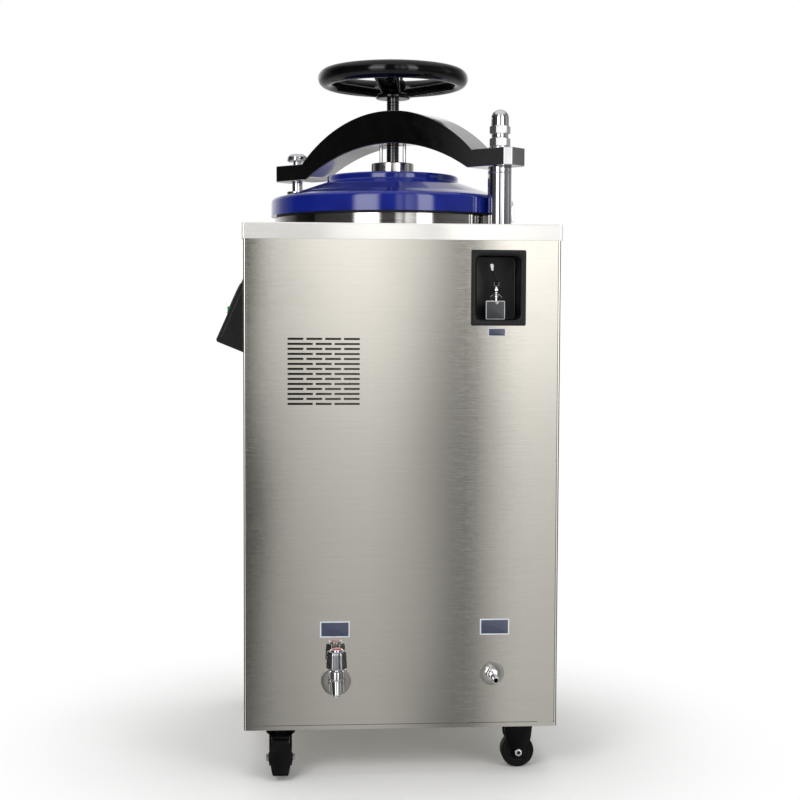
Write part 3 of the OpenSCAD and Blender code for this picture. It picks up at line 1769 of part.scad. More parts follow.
module fixed_fork() {
  shoulder_share = 0.44;
  shoulder_z = z_plate - fixed_fork_w / 2;
  difference() {
    union() {
      block([-fixed_fork_w / 2, -cheek_out, z_plate], [fixed_fork_w, 2 * cheek_out, plate_t]);
      cheeks() {
        polygon([
          [-fixed_fork_w / 2, z_plate + plate_t / 2],
          [-fixed_fork_w * shoulder_share, shoulder_z],
          [-cheek_end_r, z_axle],
          [cheek_end_r, z_axle],
          [fixed_fork_w * shoulder_share, shoulder_z],
          [fixed_fork_w / 2, z_plate + plate_t / 2]
        ]);
        translate([0, z_axle])
          circle(cheek_end_r);
      }
    }
    at([0, 0, z_axle], [90, 0, 0])
      cylinder(h = 3 * cheek_out, r = axle_r + run_gap, center = true);
  }
  translate([0, 0, z_axle])
    axle();
}

module swivel_plate() {
  rod([0, 0, z_plate], plate_t, swivel_r);
  rod([0, 0, z_plate - race_h + face_gap], race_h, race_r);
  rod([0, 0, z_kingpin_head], z_plate - z_kingpin_head, kingpin_r);
  rod([0, 0, z_kingpin_head], kingpin_head_h, kingpin_head_r);
}

// Two fixed forks at the back, and at the front the plates with the kingpins
module caster_mounts() {
  color([0.1, 0.1, 0.1])
    for (sy = [-1, 1]) {
      at_caster(1, sy)
        fixed_fork();
      at_caster(-1, sy)
        swivel_plate();
    }
}

// Swivel fork that trails towards low Y, with its axle along X
module swivel_fork() {
  front_y = pedal_pin_y - 2 * pedal_pin_r;
  bridge_y = pedal_pin_y + pedal_eye_r + loose_gap;
  rear_y = swivel_r / 2;
  z_top = z_housing + swivel_h / 2;
  difference() {
    union() {
      rod([0, 0, z_housing], swivel_h, swivel_r);
      rotate([0, 0, 90])
        cheeks() {
          polygon([
            [rear_y, z_top],
            [rear_y, z_housing],
            [-trail + cheek_end_r, z_axle],
            [-trail - cheek_end_r, z_axle],
            [front_y, z_housing - pedal_pin_r],
            [front_y, z_top]
          ]);
          translate([-trail, z_axle])
            circle(cheek_end_r);
        }
      block([-cheek_out, bridge_y, z_top - cheek_t], [2 * cheek_out, rear_y - bridge_y, cheek_t]);
    }
    rod([0, 0, z_housing - over], swivel_h + 2 * over, kingpin_r + run_gap);
    at([0, -trail, z_axle], [0, 90, 0])
      cylinder(h = 3 * cheek_out, r = axle_r + run_gap, center = true);
    at([0, pedal_pin_y, pedal_pin_z], [0, 90, 0])
      cylinder(h = 3 * cheek_out, r = pedal_pin_r + run_gap, center = true);
  }
  at([0, -trail, z_axle], [0, 0, 90])
    axle();
}

// Wheel with its axis along Y
module caster_wheel() {
  color([0.12, 0.12, 0.12])
    rotate([90, 0, 0])
      difference() {
        rotate_extrude()
          translate([0, -tyre_w / 2])
            union() {
              square([tyre_r - tyre_edge_r, tyre_w]);
              translate([0, tyre_edge_r])
                square([tyre_r, tyre_w - 2 * tyre_edge_r]);
              for (y = [tyre_edge_r, tyre_w - tyre_edge_r])
                translate([tyre_r - tyre_edge_r, y])
                  circle(tyre_edge_r);
            }
        cylinder(h = 2 * tyre_w, r = axle_r + run_gap, center = true);
      }
}

// Foot pedal on trunnions in the fork's cheeks: its outline is in shares of reach and height
module brake_pedal() {
  run = -pedal_reach - pedal_pin_y;
  drop = pedal_pin_z - tyre_r / 3;
  out_shares = [0, 0.3, 0.62, 0.88, 1];
  down_shares = [0, 0.06, 0.34, 0.78, 1];
  last = len(out_shares) - 1;
  neck_half = cheek_in - loose_gap;
  translate([0, pedal_pin_y, pedal_pin_z]) {
    rotate([0, 90, 0]) {
      cylinder(h = 2 * neck_half, r = pedal_eye_r, center = true);
      cylinder(h = 2 * cheek_out, r = pedal_pin_r, center = true);
    }
    intersection() {
      rotate([90, 0, 90])
        linear_extrude(pedal_w, center = true)
          polygon([
            for (i = [0 : last])
              [run * out_shares[i], -drop * down_shares[i] + pedal_t / 2],
            for (i = [last : -1 : 0])
              [run * out_shares[i] + pedal_t * down_shares[i], -drop * down_shares[i] - pedal_t / 2]
          ]);
      rotate([90, 0, 0])
        linear_extrude(-run + over)
          polygon([
            [-neck_half, pedal_t], [neck_half, pedal_t],
            [neck_half, -drop * down_shares[1] - pedal_t], [pedal_w / 2, -drop * down_shares[2]],
            [pedal_tip_w / 2, -drop - pedal_t], [-pedal_tip_w / 2, -drop - pedal_t],
            [-pedal_w / 2, -drop * down_shares[2]], [-neck_half, -drop * down_shares[1] - pedal_t]
          ]);
    }
  }
}

// The right front caster trails sideways to low Y, the left front one forwards to low X
module right_front() {
  at_caster(-1, -1)
    children();
}

module left_front() {
  at_caster(-1, 1)
    rotate([0, 0, -90])
      children();
}

module front_wheel() {
  at([0, -trail, z_axle], [0, 0, 90])
    caster_wheel();
}

module rear_wheel(sy) {
  at_caster(1, sy)
    translate([0, 0, z_axle])
      caster_wheel();
}

placed() base_frame();
placed() front_panel();
placed() service_panel();
placed() back_panel();
placed() left_panel();
placed() top_cover();
placed() vessel_stand();
placed() chamber();
placed() chamber_flange();
placed() insulation_jacket();
placed() heating_element();
placed() probes();
placed() drain_pipe();
placed() exhaust_pipe();
placed() recess_box();
placed() safety_valve();
placed() valve_lever();
placed() valve_tag();
placed() label_plates();
placed() tap_rose();
placed() drain_tap();
placed() tap_handle();
placed() steam_nozzle();
placed() nozzle_seat();
placed() control_box();
placed() control_fascia();
placed() gauge_case();
placed() gauge_needle();
placed() key(-1);  // key_set
placed() key(0);  // key_up
placed() key(1);  // key_down
placed() rocker_switch();
placed() power_gland();
placed() pivot_column();
placed() latch_post();
placed() pivot_bushes();
placed() column_nuts();
placed() cap_nut();
placed() beam();
placed() spindle_nut();
placed() lid();
placed() lid_liner();
placed() lid_seal();
placed() thrust_disc();
placed() guide_rods();
placed() spindle();
placed() handwheel();
placed() wheel_nut();
placed() support_grid();
placed() basket();
placed() basket_bail();
placed() caster_mounts();
placed() right_front() color([0.1, 0.1, 0.1]) swivel_fork();  // swivel_fork_right
placed() left_front() color([0.1, 0.1, 0.1]) swivel_fork();  // swivel_fork_left
placed() right_front() front_wheel();  // wheel_front_right
placed() left_front() front_wheel();  // wheel_front_left
placed() rear_wheel(-1);  // wheel_rear_right
placed() rear_wheel(1);  // wheel_rear_left
placed() right_front() color([0.1, 0.1, 0.1]) brake_pedal();  // brake_pedal_right
placed() left_front() color([0.1, 0.1, 0.1]) brake_pedal();  // brake_pedal_left
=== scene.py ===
import math
import bmesh
import bpy
import numpy as np
from bpy.props import FloatProperty, FloatVectorProperty, PointerProperty
from mathutils import Matrix, Vector


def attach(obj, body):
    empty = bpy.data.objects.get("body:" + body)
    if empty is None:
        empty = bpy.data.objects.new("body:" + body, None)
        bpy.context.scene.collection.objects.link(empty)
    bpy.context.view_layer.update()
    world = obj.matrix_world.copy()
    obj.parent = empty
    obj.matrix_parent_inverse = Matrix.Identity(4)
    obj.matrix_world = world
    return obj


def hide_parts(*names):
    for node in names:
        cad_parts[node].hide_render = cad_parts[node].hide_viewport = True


bl_info = {
    "name": "Vertical Autoclave",
    "version": (1, 0, 0),
    "blender": (4, 5, 0),
    "location": "View3D > Sidebar > Autoclave",
    "description": "Dresses the packed frame of a vertical autoclave in its surfaces and finishes",
    "category": "Add Mesh",
}

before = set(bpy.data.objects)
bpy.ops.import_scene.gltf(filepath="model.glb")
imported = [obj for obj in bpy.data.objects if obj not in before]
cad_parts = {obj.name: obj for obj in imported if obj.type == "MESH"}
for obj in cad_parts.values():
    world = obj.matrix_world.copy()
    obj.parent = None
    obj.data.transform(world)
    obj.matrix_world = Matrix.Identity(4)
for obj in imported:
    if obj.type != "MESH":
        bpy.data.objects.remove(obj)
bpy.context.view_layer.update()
AXIS = np.array([0.023993, 0.015, 0.0])      # vessel's axis in the shared frame, metres
HALF = 255.0                                 # half of the cabinet's width; all places below are in
COLUMN_D = 235.5                             # millimetres from the vessel's axis and the floor
FACE_LEAN = math.radians(23.87)              # lean of the control face from upright
CASTER_X, CASTER_Y = 196.0, 212.0            # casters' middles from the vessel's axis
TRAIL, AXLE_Z = 25.0, 27.0                   # swivel axis to axle, and the axle's height
ALONG = np.array([1, -1, 0]) / math.sqrt(2)  # direction of the beam


# Surfaces

def lines(points, radii, steps, closed=False):
    """Line of points with round corners: each corner becomes an arc tangent to both sides, its centre
    on the corner's bisector at the radius over the sine of half the corner's angle."""
    p = np.asarray(points, float)
    r = np.broadcast_to(np.asarray(radii, float), (len(p),)).copy()
    if not closed:
        r[[0, -1]] = 0
    a, b = np.roll(p, 1, 0) - p, np.roll(p, -1, 0) - p
    la, lb = (np.maximum(np.linalg.norm(v, axis=1), 1e-9) for v in (a, b))
    a, b = a / la[:, None], b / lb[:, None]
    half = 0.5 * np.arccos(np.clip((a * b).sum(1), -1, 1))
    half = np.clip(half, 1e-4, math.pi / 2 - 1e-4)
    reach = np.minimum(r / np.tan(half), 0.49 * np.minimum(la, lb))
    radius = reach * np.tan(half)
    mid = a + b
    mid /= np.maximum(np.linalg.norm(mid, axis=1), 1e-9)[:, None]
    centre = p + mid * (radius / np.sin(half))[:, None]
    s = np.linspace(0, 1, steps + 1)[None, :, None]
    first, last = (p + v * reach[:, None] - centre for v in (a, b))
    arc = (1 - s) * first[:, None] + s * last[:, None]
    size = np.maximum(np.linalg.norm(arc, axis=2, keepdims=True), 1e-9)
    return (centre[:, None] + arc / size * radius[:, None, None]).reshape(-1, 2)


def grid(rows, around=True, loop=False, caps=False):
    """Surface over a grid of points: neighbours in a row and in the next row share a four-sided face.
    around joins each row's ends, loop joins the last row to the first, caps closes both end rows."""
    rows = np.asarray(rows, float)
    n, m = rows.shape[:2]
    at = np.arange(n * m).reshape(n, m)
    ends = [at[0][::-1], at[-1]] if caps else []
    at = np.vstack([at, at[:1]]) if loop else at
    at = np.hstack([at, at[:, :1]]) if around else at
    quads = np.stack([at[:-1, :-1], at[:-1, 1:], at[1:, 1:], at[1:, :-1]], -1).reshape(-1, 4)
    return rows.reshape(-1, 3), quads, ends


def lathe(profile, n, at=(0, 0, 0)):
    """Turned surface: a profile of radius r and height h about an upright axis, x = r cos t, y = r sin t,
    z = h. A profile that starts away from the axis is a closed loop."""
    pr = np.asarray(profile, float)
    t = np.arange(n) / n * 2 * math.pi
    rows = np.stack([pr[:, :1] * np.cos(t), pr[:, :1] * np.sin(t), np.repeat(pr[:, 1:], n, 1)], -1)
    return grid(rows + np.asarray(at, float), loop=pr[0][0] > 1e-6)


def turned(points, radii, steps=4, n=96, at=(0, 0, 0)):
    """Turned surface whose profile has round corners, a closed loop where it starts away from the axis."""
    return lathe(lines(points, radii, steps, points[0][0] > 0), n, at)


def collar(inner, outer, low, high, radii, steps, n, at=(0, 0, 0)):
    """Turned ring between two radii and two heights with round corners, a plain rod where inner is 0."""
    return turned([(inner, low), (outer, low), (outer, high), (inner, high)], radii, steps, n, at)


def dome(radius, height, start, stop, n):
    """Profile points on an arc about a place on the axis."""
    return [(radius * math.cos(a), height + radius * math.sin(a)) for a in np.linspace(start, stop, n)]


def stacked(rows, **how):
    """Surface through outlines, each at its own height."""
    return grid([np.c_[xy, np.full(len(xy), z)] for xy, z in rows], **how)


def ring(radius, section, n, m, at=(0, 0, 0)):
    """Torus: distance from the axis radius + section cos s, height section sin s."""
    s = np.arange(m) / m * 2 * math.pi
    return lathe(np.stack([radius + section * np.cos(s), section * np.sin(s)], 1), n, at)


def nut(af, h, bore, n=96, at=(0, 0, 0)):
    """Hexagonal nut: the radius at an angle is the lesser of the flats' distance over the cosine of the
    angle to the nearest flat, and that of a 30 degree cone that trims the corners at both ends."""
    t = np.arange(n) / n * 2 * math.pi
    hexagon = af / 2 / np.cos(np.mod(t, math.pi / 3) - math.pi / 6)
    face, corner, slope = af / 2 * 0.97, af * 0.5774, math.tan(math.radians(30))
    deep = np.linspace(0, 1, 7) * (corner - face) * slope
    up = [(face + d / slope, d) for d in deep]
    spread = [(bore, 0)] + up + [(c, h - z) for c, z in up[::-1]] + [(bore, h)]
    cut = [(np.minimum(hexagon, c), z) for c, z in spread]
    rows = np.array([np.stack([r * np.cos(t), r * np.sin(t), t * 0 + z], 1) for r, z in cut])
    return grid(rows + np.asarray(at, float), loop=True)


def oblong(w, h, r, n=6):
    """Outline of a rectangle with round corners, as a function of how far it is drawn in."""
    def outline(d=0.0):
        e = max(r - d, 0.02)
        t = np.linspace(0, math.pi / 2, n + 1)
        sx, sy = np.array([1, -1, -1, 1]), np.array([1, 1, -1, -1])
        turn = (t[None, :] + np.arange(4)[:, None] * math.pi / 2)
        x = sx[:, None] * (w / 2 - d - e) + e * np.cos(turn)
        y = sy[:, None] * (h / 2 - d - e) + e * np.sin(turn)
        return np.stack([x, y], -1).reshape(-1, 2)
    return outline


def shape(points, r, steps=4):
    """Outline of a polygon that runs anticlockwise, as a function of how far it is drawn in: a corner
    moves by that distance along the sum of its sides' inward normals over one plus their product."""
    p = np.asarray(points, float)

    def outline(d=0.0):
        side = np.roll(p, -1, 0) - p
        side /= np.linalg.norm(side, axis=1)[:, None]
        inward = np.stack([-side[:, 1], side[:, 0]], 1)
        before = np.roll(inward, 1, 0)
        moved = p + (before + inward) * d / (1 + (before * inward).sum(1))[:, None]
        return lines(moved, np.maximum(np.asarray(r) - d, 0.02), steps, closed=True)
    return outline


def slab(outline, low, high, edge, low_edge=None):
    """Flat piece between two heights whose outline draws in along a quarter circle at each rim."""
    low_edge = edge if low_edge is None else low_edge
    f = np.linspace(0, math.pi / 2, 4)
    rows = [(low_edge * (1 - math.sin(a)), low + low_edge * (1 - math.cos(a))) for a in f]
    rows += [(edge * (1 - math.sin(a)), high - edge * (1 - math.cos(a))) for a in f[::-1]]
    return stacked([(outline(d), z) for d, z in rows], caps=True)


def put(part, origin, x=(1, 0, 0), z=(0, 0, 1)):
    """Moves a surface's own x and z directions onto the given ones: origin + x a + (z cross x) b + z c."""
    x, z = (np.asarray(v, float) / np.linalg.norm(v) for v in (x, z))
    points, quads, ends = part
    return np.asarray(origin, float) + points @ np.array([x, np.cross(z, x), z]), quads, ends


def on_beam(along, z):
    """Point over the beam's line at a distance from the vessel's axis."""
    return ALONG * along + np.array([0, 0, z])


def on_panel(part, x, z):
    """Puts a surface on the service panel, with its own height pointing out of the panel."""
    return put(part, (x, -HALF, z), (1, 0, 0), (0, -1, 0))


def weld(mesh, reach, *steps):
    """Merges a mesh's doubles within a reach in metres and takes further steps on it."""
    bm = bmesh.new()
    bm.from_mesh(mesh)
    bmesh.ops.remove_doubles(bm, verts=bm.verts, dist=reach)
    for step in steps:
        step(bm)
    bm.to_mesh(mesh)
    bm.free()


def outwards(bm):
    """Turns every face outwards."""
    bmesh.ops.recalc_face_normals(bm, faces=bm.faces)


def flattened(bm):
    """Joins faces that lie in one plane."""
    bmesh.ops.dissolve_limit(bm, angle_limit=0.003, verts=bm.verts, edges=bm.edges)


def placed(name, data):
    """Adds an object to the scene."""
    obj = bpy.data.objects.new(name, data)
    bpy.context.scene.collection.objects.link(obj)
    return obj


def piece(name, body, parts, sharp=36, node=None):
    """Joins surfaces with their materials' names into one piece in its place, with doubles merged and
    faces outwards, and edges sharper than an angle kept crisp."""
    points, faces, marks, looks, start = [], [], [], [], 0
    for (p, quads, ends), look in parts:
        if look not in looks:
            looks.append(look)
        points.append(p)
        rows = (quads + start).tolist() + [(e + start).tolist() for e in ends]
        faces += rows
        marks += [looks.index(look)] * len(rows)
        start += len(p)
    mesh = bpy.data.meshes.new(name)
    mesh.from_pydata((np.concatenate(points) * 0.001 + AXIS).tolist(), [], faces)
    mesh.polygons.foreach_set("material_index", marks)
    for look in looks:
        mesh.materials.append(LOOKS[look])
    weld(mesh, 1e-7, outwards)
    return seat(name, body, mesh, sharp, name.lower() if node is None else node)


def seat(name, body, mesh, sharp, node):
    """Puts a finished mesh on its body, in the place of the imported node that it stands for, if any."""
    mesh.polygons.foreach_set("use_smooth", [True] * len(mesh.polygons))
    mesh.set_sharp_from_angle(angle=math.radians(sharp))
    obj = placed(name, mesh)
    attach(obj, body)
    if node:
        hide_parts(node)
    return obj


def eased(name, body, look, width, steps=2, angle=34):
    """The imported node's own shape with its doubles merged, its flat faces joined and its edges rounded."""
    node = name.lower()
    mesh = bpy.data.objects[node].data.copy()
    mesh.name = name
    weld(mesh, 2e-6, flattened)
    mesh.materials.clear()
    mesh.materials.append(LOOKS[look])
    obj = seat(name, body, mesh, angle, node)
    rim = obj.modifiers.new("Rounded edges", "BEVEL")
    rim.width = width * 0.001
    rim.segments = steps
    rim.limit_method = "ANGLE"
    rim.angle_limit = math.radians(angle)
    rim.use_clamp_overlap = False
    rim.harden_normals = True
    return obj


# Finishes

def tone(red, green, blue):
    """Screen colour of 0 to 255 as the linear colour that shaders take."""
    c = np.array([red, green, blue]) / 255
    return tuple(np.where(c <= 0.04045, c / 12.92, ((c + 0.055) / 1.055) ** 2.4).tolist())


def shade(colour, factor, more=0.0):
    """A colour made darker or lighter by a factor and an added amount, at most white."""
    return tuple(min(c * factor + more, 1) for c in colour)


def wire(tree, kind, inputs=None, **settings):
    """Adds a node, sets its settings, and sets or links its inputs."""
    node = tree.nodes.new(kind)
    for key, value in settings.items():
        setattr(node, key, value)
    for key, value in (inputs or {}).items():
        if isinstance(value, bpy.types.NodeSocket):
            tree.links.new(value, node.inputs[key])
        else:
            node.inputs[key].default_value = value
    return node


def calc(tree, operation, *values):
    """Result of a maths node over numbers and other nodes' outputs."""
    return wire(tree, "ShaderNodeMath", dict(enumerate(values)), operation=operation).outputs[0]


def vector(tree, operation, *values):
    """Result of a vector maths node; a length comes out as a number."""
    node = wire(tree, "ShaderNodeVectorMath", dict(enumerate(values)), operation=operation)
    return node.outputs["Value" if operation == "LENGTH" else "Vector"]


def split(tree, value):
    """The X, Y and Z of a vector."""
    return wire(tree, "ShaderNodeSeparateXYZ", {0: value}).outputs


def join(tree, **parts):
    """A vector of the given X, Y and Z."""
    return wire(tree, "ShaderNodeCombineXYZ", parts).outputs[0]


def noise(tree, at, scale, detail, roughness, distortion=0.0):
    """Noise value at a place."""
    inputs = {"Vector": at, "Scale": scale, "Detail": detail, "Roughness": roughness,
              "Distortion": distortion}
    return wire(tree, "ShaderNodeTexNoise", inputs).outputs[0]


def span(tree, value, start, stop, low=0.0, high=1.0, kind="LINEAR"):
    """Maps a value from one range of numbers onto another."""
    inputs = {"Value": value, "From Min": start, "From Max": stop, "To Min": low, "To Max": high}
    return wire(tree, "ShaderNodeMapRange", inputs, interpolation_type=kind).outputs["Result"]


def mix(tree, fac, first, second, **settings):
    """Mixes two colours by a mask."""
    fill = [c if isinstance(c, bpy.types.NodeSocket) else (*c, 1.0) for c in (first, second)]
    inputs = {0: fac, 6: fill[0], 7: fill[1]}
    return wire(tree, "ShaderNodeMix", inputs, data_type="RGBA", **settings).outputs[2]


def mix_shaders(tree, fac, first, second):
    """Mixes two shaders by a mask."""
    return wire(tree, "ShaderNodeMixShader", {0: fac, 1: first, 2: second}).outputs[0]


def grey_ramp(tree, value, stops):
    """Grey that follows straight lines between stops, each a place from 0 to 1 and a brightness."""
    node = wire(tree, "ShaderNodeValToRGB", {0: value})
    elements = node.color_ramp.elements
    while len(elements) < len(stops):
        elements.new(0.5)
    for element, (place, bright) in zip(elements, stops):
        element.position = place
        element.color = (bright, bright, bright, 1)
    return node.outputs[0]


def effect(name, outputs=("Fac",), **inputs):
    """Starts a shader node group. It takes a place and the given inputs, numbers or vectors like their
    defaults, and gives numbers."""
    tree = bpy.data.node_groups.new(name, "ShaderNodeTree")
    for label, default in {"Vector": None, **inputs}.items():
        kind = "NodeSocketFloat" if isinstance(default, float) else "NodeSocketVector"
        socket = tree.interface.new_socket(label, in_out="INPUT", socket_type=kind)
        if default is not None:
            socket.default_value = default
    for label in outputs:
        tree.interface.new_socket(label, in_out="OUTPUT", socket_type="NodeSocketFloat")
    return tree, tree.nodes.new("NodeGroupInput").outputs, tree.nodes.new("NodeGroupOutput").inputs


def grain_effect():
    """Brushed grain: noise over coordinates stretched by a different amount along each axis, and a coarser
    one for bundles of scratches. On level faces the grain runs along X."""
    tree, given, out = effect("Brushed Grain", Stretch=(30.0, 30.0, 2500.0), Bundles=0.3)
    normal = split(tree, wire(tree, "ShaderNodeNewGeometry").outputs["True Normal"])
    added = calc(tree, "MULTIPLY", calc(tree, "ABSOLUTE", normal["Z"]), split(tree, given["Stretch"])["Z"])
    stretch = vector(tree, "ADD", given["Stretch"], join(tree, Y=added))
    at = vector(tree, "MULTIPLY", given["Vector"], stretch)
    inputs = {0: given["Bundles"], 2: noise(tree, at, 1.0, 3.0, 0.6), 3: noise(tree, at, 0.21, 1.0, 0.5)}
    tree.links.new(wire(tree, "ShaderNodeMix", inputs).outputs[0], out["Fac"])


def turned_effect():
    """Turned lines: noise over the distance from an upright axis and over the height, nearly the same all
    the way round."""
    tree, given, out = effect("Turned Lines", Axis=(0.0, 0.0, 0.0), Lines=1800.0, Run=12.0)
    place = split(tree, vector(tree, "SUBTRACT", given["Vector"], given["Axis"]))
    radius = vector(tree, "LENGTH", join(tree, X=place["X"], Y=place["Y"]))
    across = {axis: calc(tree, "MULTIPLY", place[axis], given["Run"]) for axis in ("X", "Y")}
    along = calc(tree, "MULTIPLY", calc(tree, "ADD", radius, place["Z"]), given["Lines"])
    tree.links.new(noise(tree, join(tree, **across, Z=along), 1.0, 2.0, 0.55), out["Fac"])


def smudge_effect():
    """Smudges: soft wide noise, kept only where it passes a threshold, for finger marks and wiped dirt."""
    tree, given, out = effect("Smudges", Scale=14.0, From=0.45, To=0.75)
    cloud = noise(tree, given["Vector"], given["Scale"], 4.0, 0.6, 0.6)
    tree.links.new(span(tree, cloud, given["From"], given["To"], kind="SMOOTHSTEP"), out["Fac"])


def dust_effect():
    """Settled dust: a mask that is full on faces that look up, broken up by fine noise."""
    tree, given, out = effect("Settled Dust", Amount=0.2, Scale=160.0)
    upward = split(tree, wire(tree, "ShaderNodeNewGeometry").outputs["Normal"])["Z"]
    spots = noise(tree, given["Vector"], given["Scale"], 5.0, 0.7)
    both = calc(tree, "MULTIPLY", span(tree, upward, 0.3, 0.95), span(tree, spots, 0.35, 0.75))
    tree.links.new(calc(tree, "MULTIPLY", both, given["Amount"]), out["Fac"])


def speckle_effect():
    """Moulded or sprayed grain: fine cell noise for height, with a softer tone noise."""
    tree, given, out = effect("Moulded Grain", ("Height", "Tone"), Scale=1400.0)
    inputs = {"Vector": given["Vector"], "Scale": given["Scale"]}
    cells = wire(tree, "ShaderNodeTexVoronoi", inputs, feature="SMOOTH_F1")
    tree.links.new(cells.outputs["Distance"], out["Height"])
    tree.links.new(noise(tree, given["Vector"], 40.0, 5.0, 0.65), out["Tone"])


class Finish:
    """One material being wired: its tree, its shader, the object's coordinates and shorthand for nodes."""

    def __init__(self, name, **sockets):
        self.material = bpy.data.materials.new(name)
        self.material.use_nodes = True
        self.tree = self.material.node_tree
        self.shader = self.tree.nodes["Principled BSDF"]
        self.place = wire(self.tree, "ShaderNodeTexCoord").outputs["Object"]
        for key, value in sockets.items():
            self.set(key.replace("_", " "), value)

    def set(self, label, value):
        """Sets or links one of the shader's own sockets."""
        socket = self.shader.inputs[label]
        if isinstance(value, bpy.types.NodeSocket):
            self.tree.links.new(value, socket)
        else:
            socket.default_value = (*value, 1.0) if socket.type == "RGBA" else value

    def use(self, group, output="Fac", **inputs):
        """Places a shared effect with its own values and gives one of its outputs."""
        inputs["Vector"] = self.place
        group = bpy.data.node_groups[group]
        return wire(self.tree, "ShaderNodeGroup", inputs, node_tree=group).outputs[output]

    def noise(self, scale, detail=3.0, roughness=0.5, stretch=None):
        """Plain noise over the object's coordinates, stretched if asked."""
        at = vector(self.tree, "MULTIPLY", self.place, stretch) if stretch else self.place
        return noise(self.tree, at, scale, detail, roughness)

    def span(self, value, low, high, start=0.3, stop=0.7):
        """Maps a mask onto a range of numbers."""
        return span(self.tree, value, start, stop, low, high)

    def bump(self, height, depth, strength=1.0, under=None):
        """Turns a height mask of a depth in metres into a normal."""
        inputs = {"Height": height, "Distance": depth, "Strength": strength}
        if under is not None:
            inputs["Normal"] = under
        return wire(self.tree, "ShaderNodeBump", inputs).outputs[0]

    def colour(self, fac, first, second, haze=None, dust=(0.4, 0.39, 0.37)):
        """Sets the base colour to a mix of two by a mask, with dust over it by another mask if given."""
        base = mix(self.tree, fac, first, second)
        self.set("Base Color", base if haze is None else mix(self.tree, haze, base, dust))


def brushed(name, light, dark, stretch, rough, waves=0.0, turn=0.25, spread=0.6, depth=0.00001, metal=1.0):
    """Brushed stainless steel: streaks along the grain in tone, roughness and height, with smudges."""
    f = Finish(name, Metallic=metal, Anisotropic=spread, Anisotropic_Rotation=turn)
    streaks = f.use("Brushed Grain", Stretch=stretch, Bundles=0.3)
    marks = f.use("Smudges", Scale=9.0)
    f.colour(f.span(streaks, 0, 1), dark, light, f.span(marks, 0.0, 0.12, 0, 1), shade(dark, 0.8))
    scratch, more = f.span(streaks, *rough), f.span(marks, 0.0, 0.012, 0, 1)
    f.set("Roughness", calc(f.tree, "ADD", scratch, more))
    under = f.bump(f.noise(3.4, 1.0, 0.4, (1.0, 1.0, 0.45)), waves) if waves else None
    f.set("Normal", f.bump(streaks, depth, 0.5, under))
    return f.material


def chrome(name, tint, rough, lines_on=None, dust=0.1):
    """Polished plated metal: faint turned lines, wiped smudges and a little settled dust."""
    f = Finish(name, Metallic=1.0)
    if lines_on is None:
        marks = f.noise(55.0, 4.0, 0.6)
    else:
        marks = f.use("Turned Lines", Axis=lines_on, Lines=1500.0, Run=25.0)
    wiped = f.use("Smudges", Scale=38.0)
    f.colour(f.span(wiped, 0, 0.5, 0, 1), tint, shade(tint, 0.86))
    haze = f.use("Settled Dust", Amount=dust, Scale=240.0)
    f.set("Roughness", calc(f.tree, "ADD", f.span(marks, *rough), haze))
    f.set("Normal", f.bump(marks, 0.00001, 0.5))
    return f.material


def enamel(name, colour, rough, coat, orange_peel=0.00005, dust=0.12, level=0.5):
    """Glossy sprayed enamel: a clear coat over colour that varies a little, fine orange peel and dust."""
    f = Finish(name, Coat_Weight=coat, Coat_Roughness=0.06, Specular_IOR_Level=level)
    cloud = f.noise(24.0, 4.0, 0.6)
    haze = f.use("Settled Dust", Amount=dust, Scale=190.0)
    f.colour(f.span(cloud, 0, 1), shade(colour, 0.85), shade(colour, 1.12, 0.001), haze, (0.42, 0.41, 0.39))
    f.set("Roughness", f.span(cloud, *rough))
    f.set("Normal", f.bump(f.noise(900.0, 2.0, 0.5), orange_peel, 0.35))
    return f.material


def moulded(name, colour, rough, grain=1400.0, depth=0.00006, dust=0.15, level=0.5):
    """Moulded plastic or textured paint: fine grain in height, soft variation in tone, dust on top."""
    f = Finish(name, Specular_IOR_Level=level)
    cloud = f.use("Moulded Grain", "Tone", Scale=grain)
    haze = f.use("Settled Dust", Amount=dust)
    f.colour(f.span(cloud, 0, 1), shade(colour, 0.8), shade(colour, 1.2, 0.0008), haze)
    f.set("Roughness", f.span(cloud, *rough))
    f.set("Normal", f.bump(f.use("Moulded Grain", "Height", Scale=grain), depth, 0.6))
    return f.material


def wool(name, colour):
    """Glass wool felt: tangled fibres from stretched noise in height, pale and dry."""
    f = Finish(name, Sheen_Weight=0.4, Roughness=0.95)
    fibres = f.noise(420.0, 6.0, 0.75, (1.0, 1.0, 0.3))
    f.colour(f.span(fibres, 0, 1), shade(colour, 0.7), colour)
    f.set("Normal", f.bump(fibres, 0.0012, 0.9))
    return f.material


def glass(name):
    """Clear cover glass with a faint haze where it was wiped."""
    f = Finish(name, Transmission_Weight=1.0, IOR=1.45, Base_Color=(0.97, 0.985, 0.98))
    f.set("Roughness", f.span(f.use("Smudges", Scale=60.0), 0.0, 0.04, 0, 1))
    return f.material


LOOKS = {}


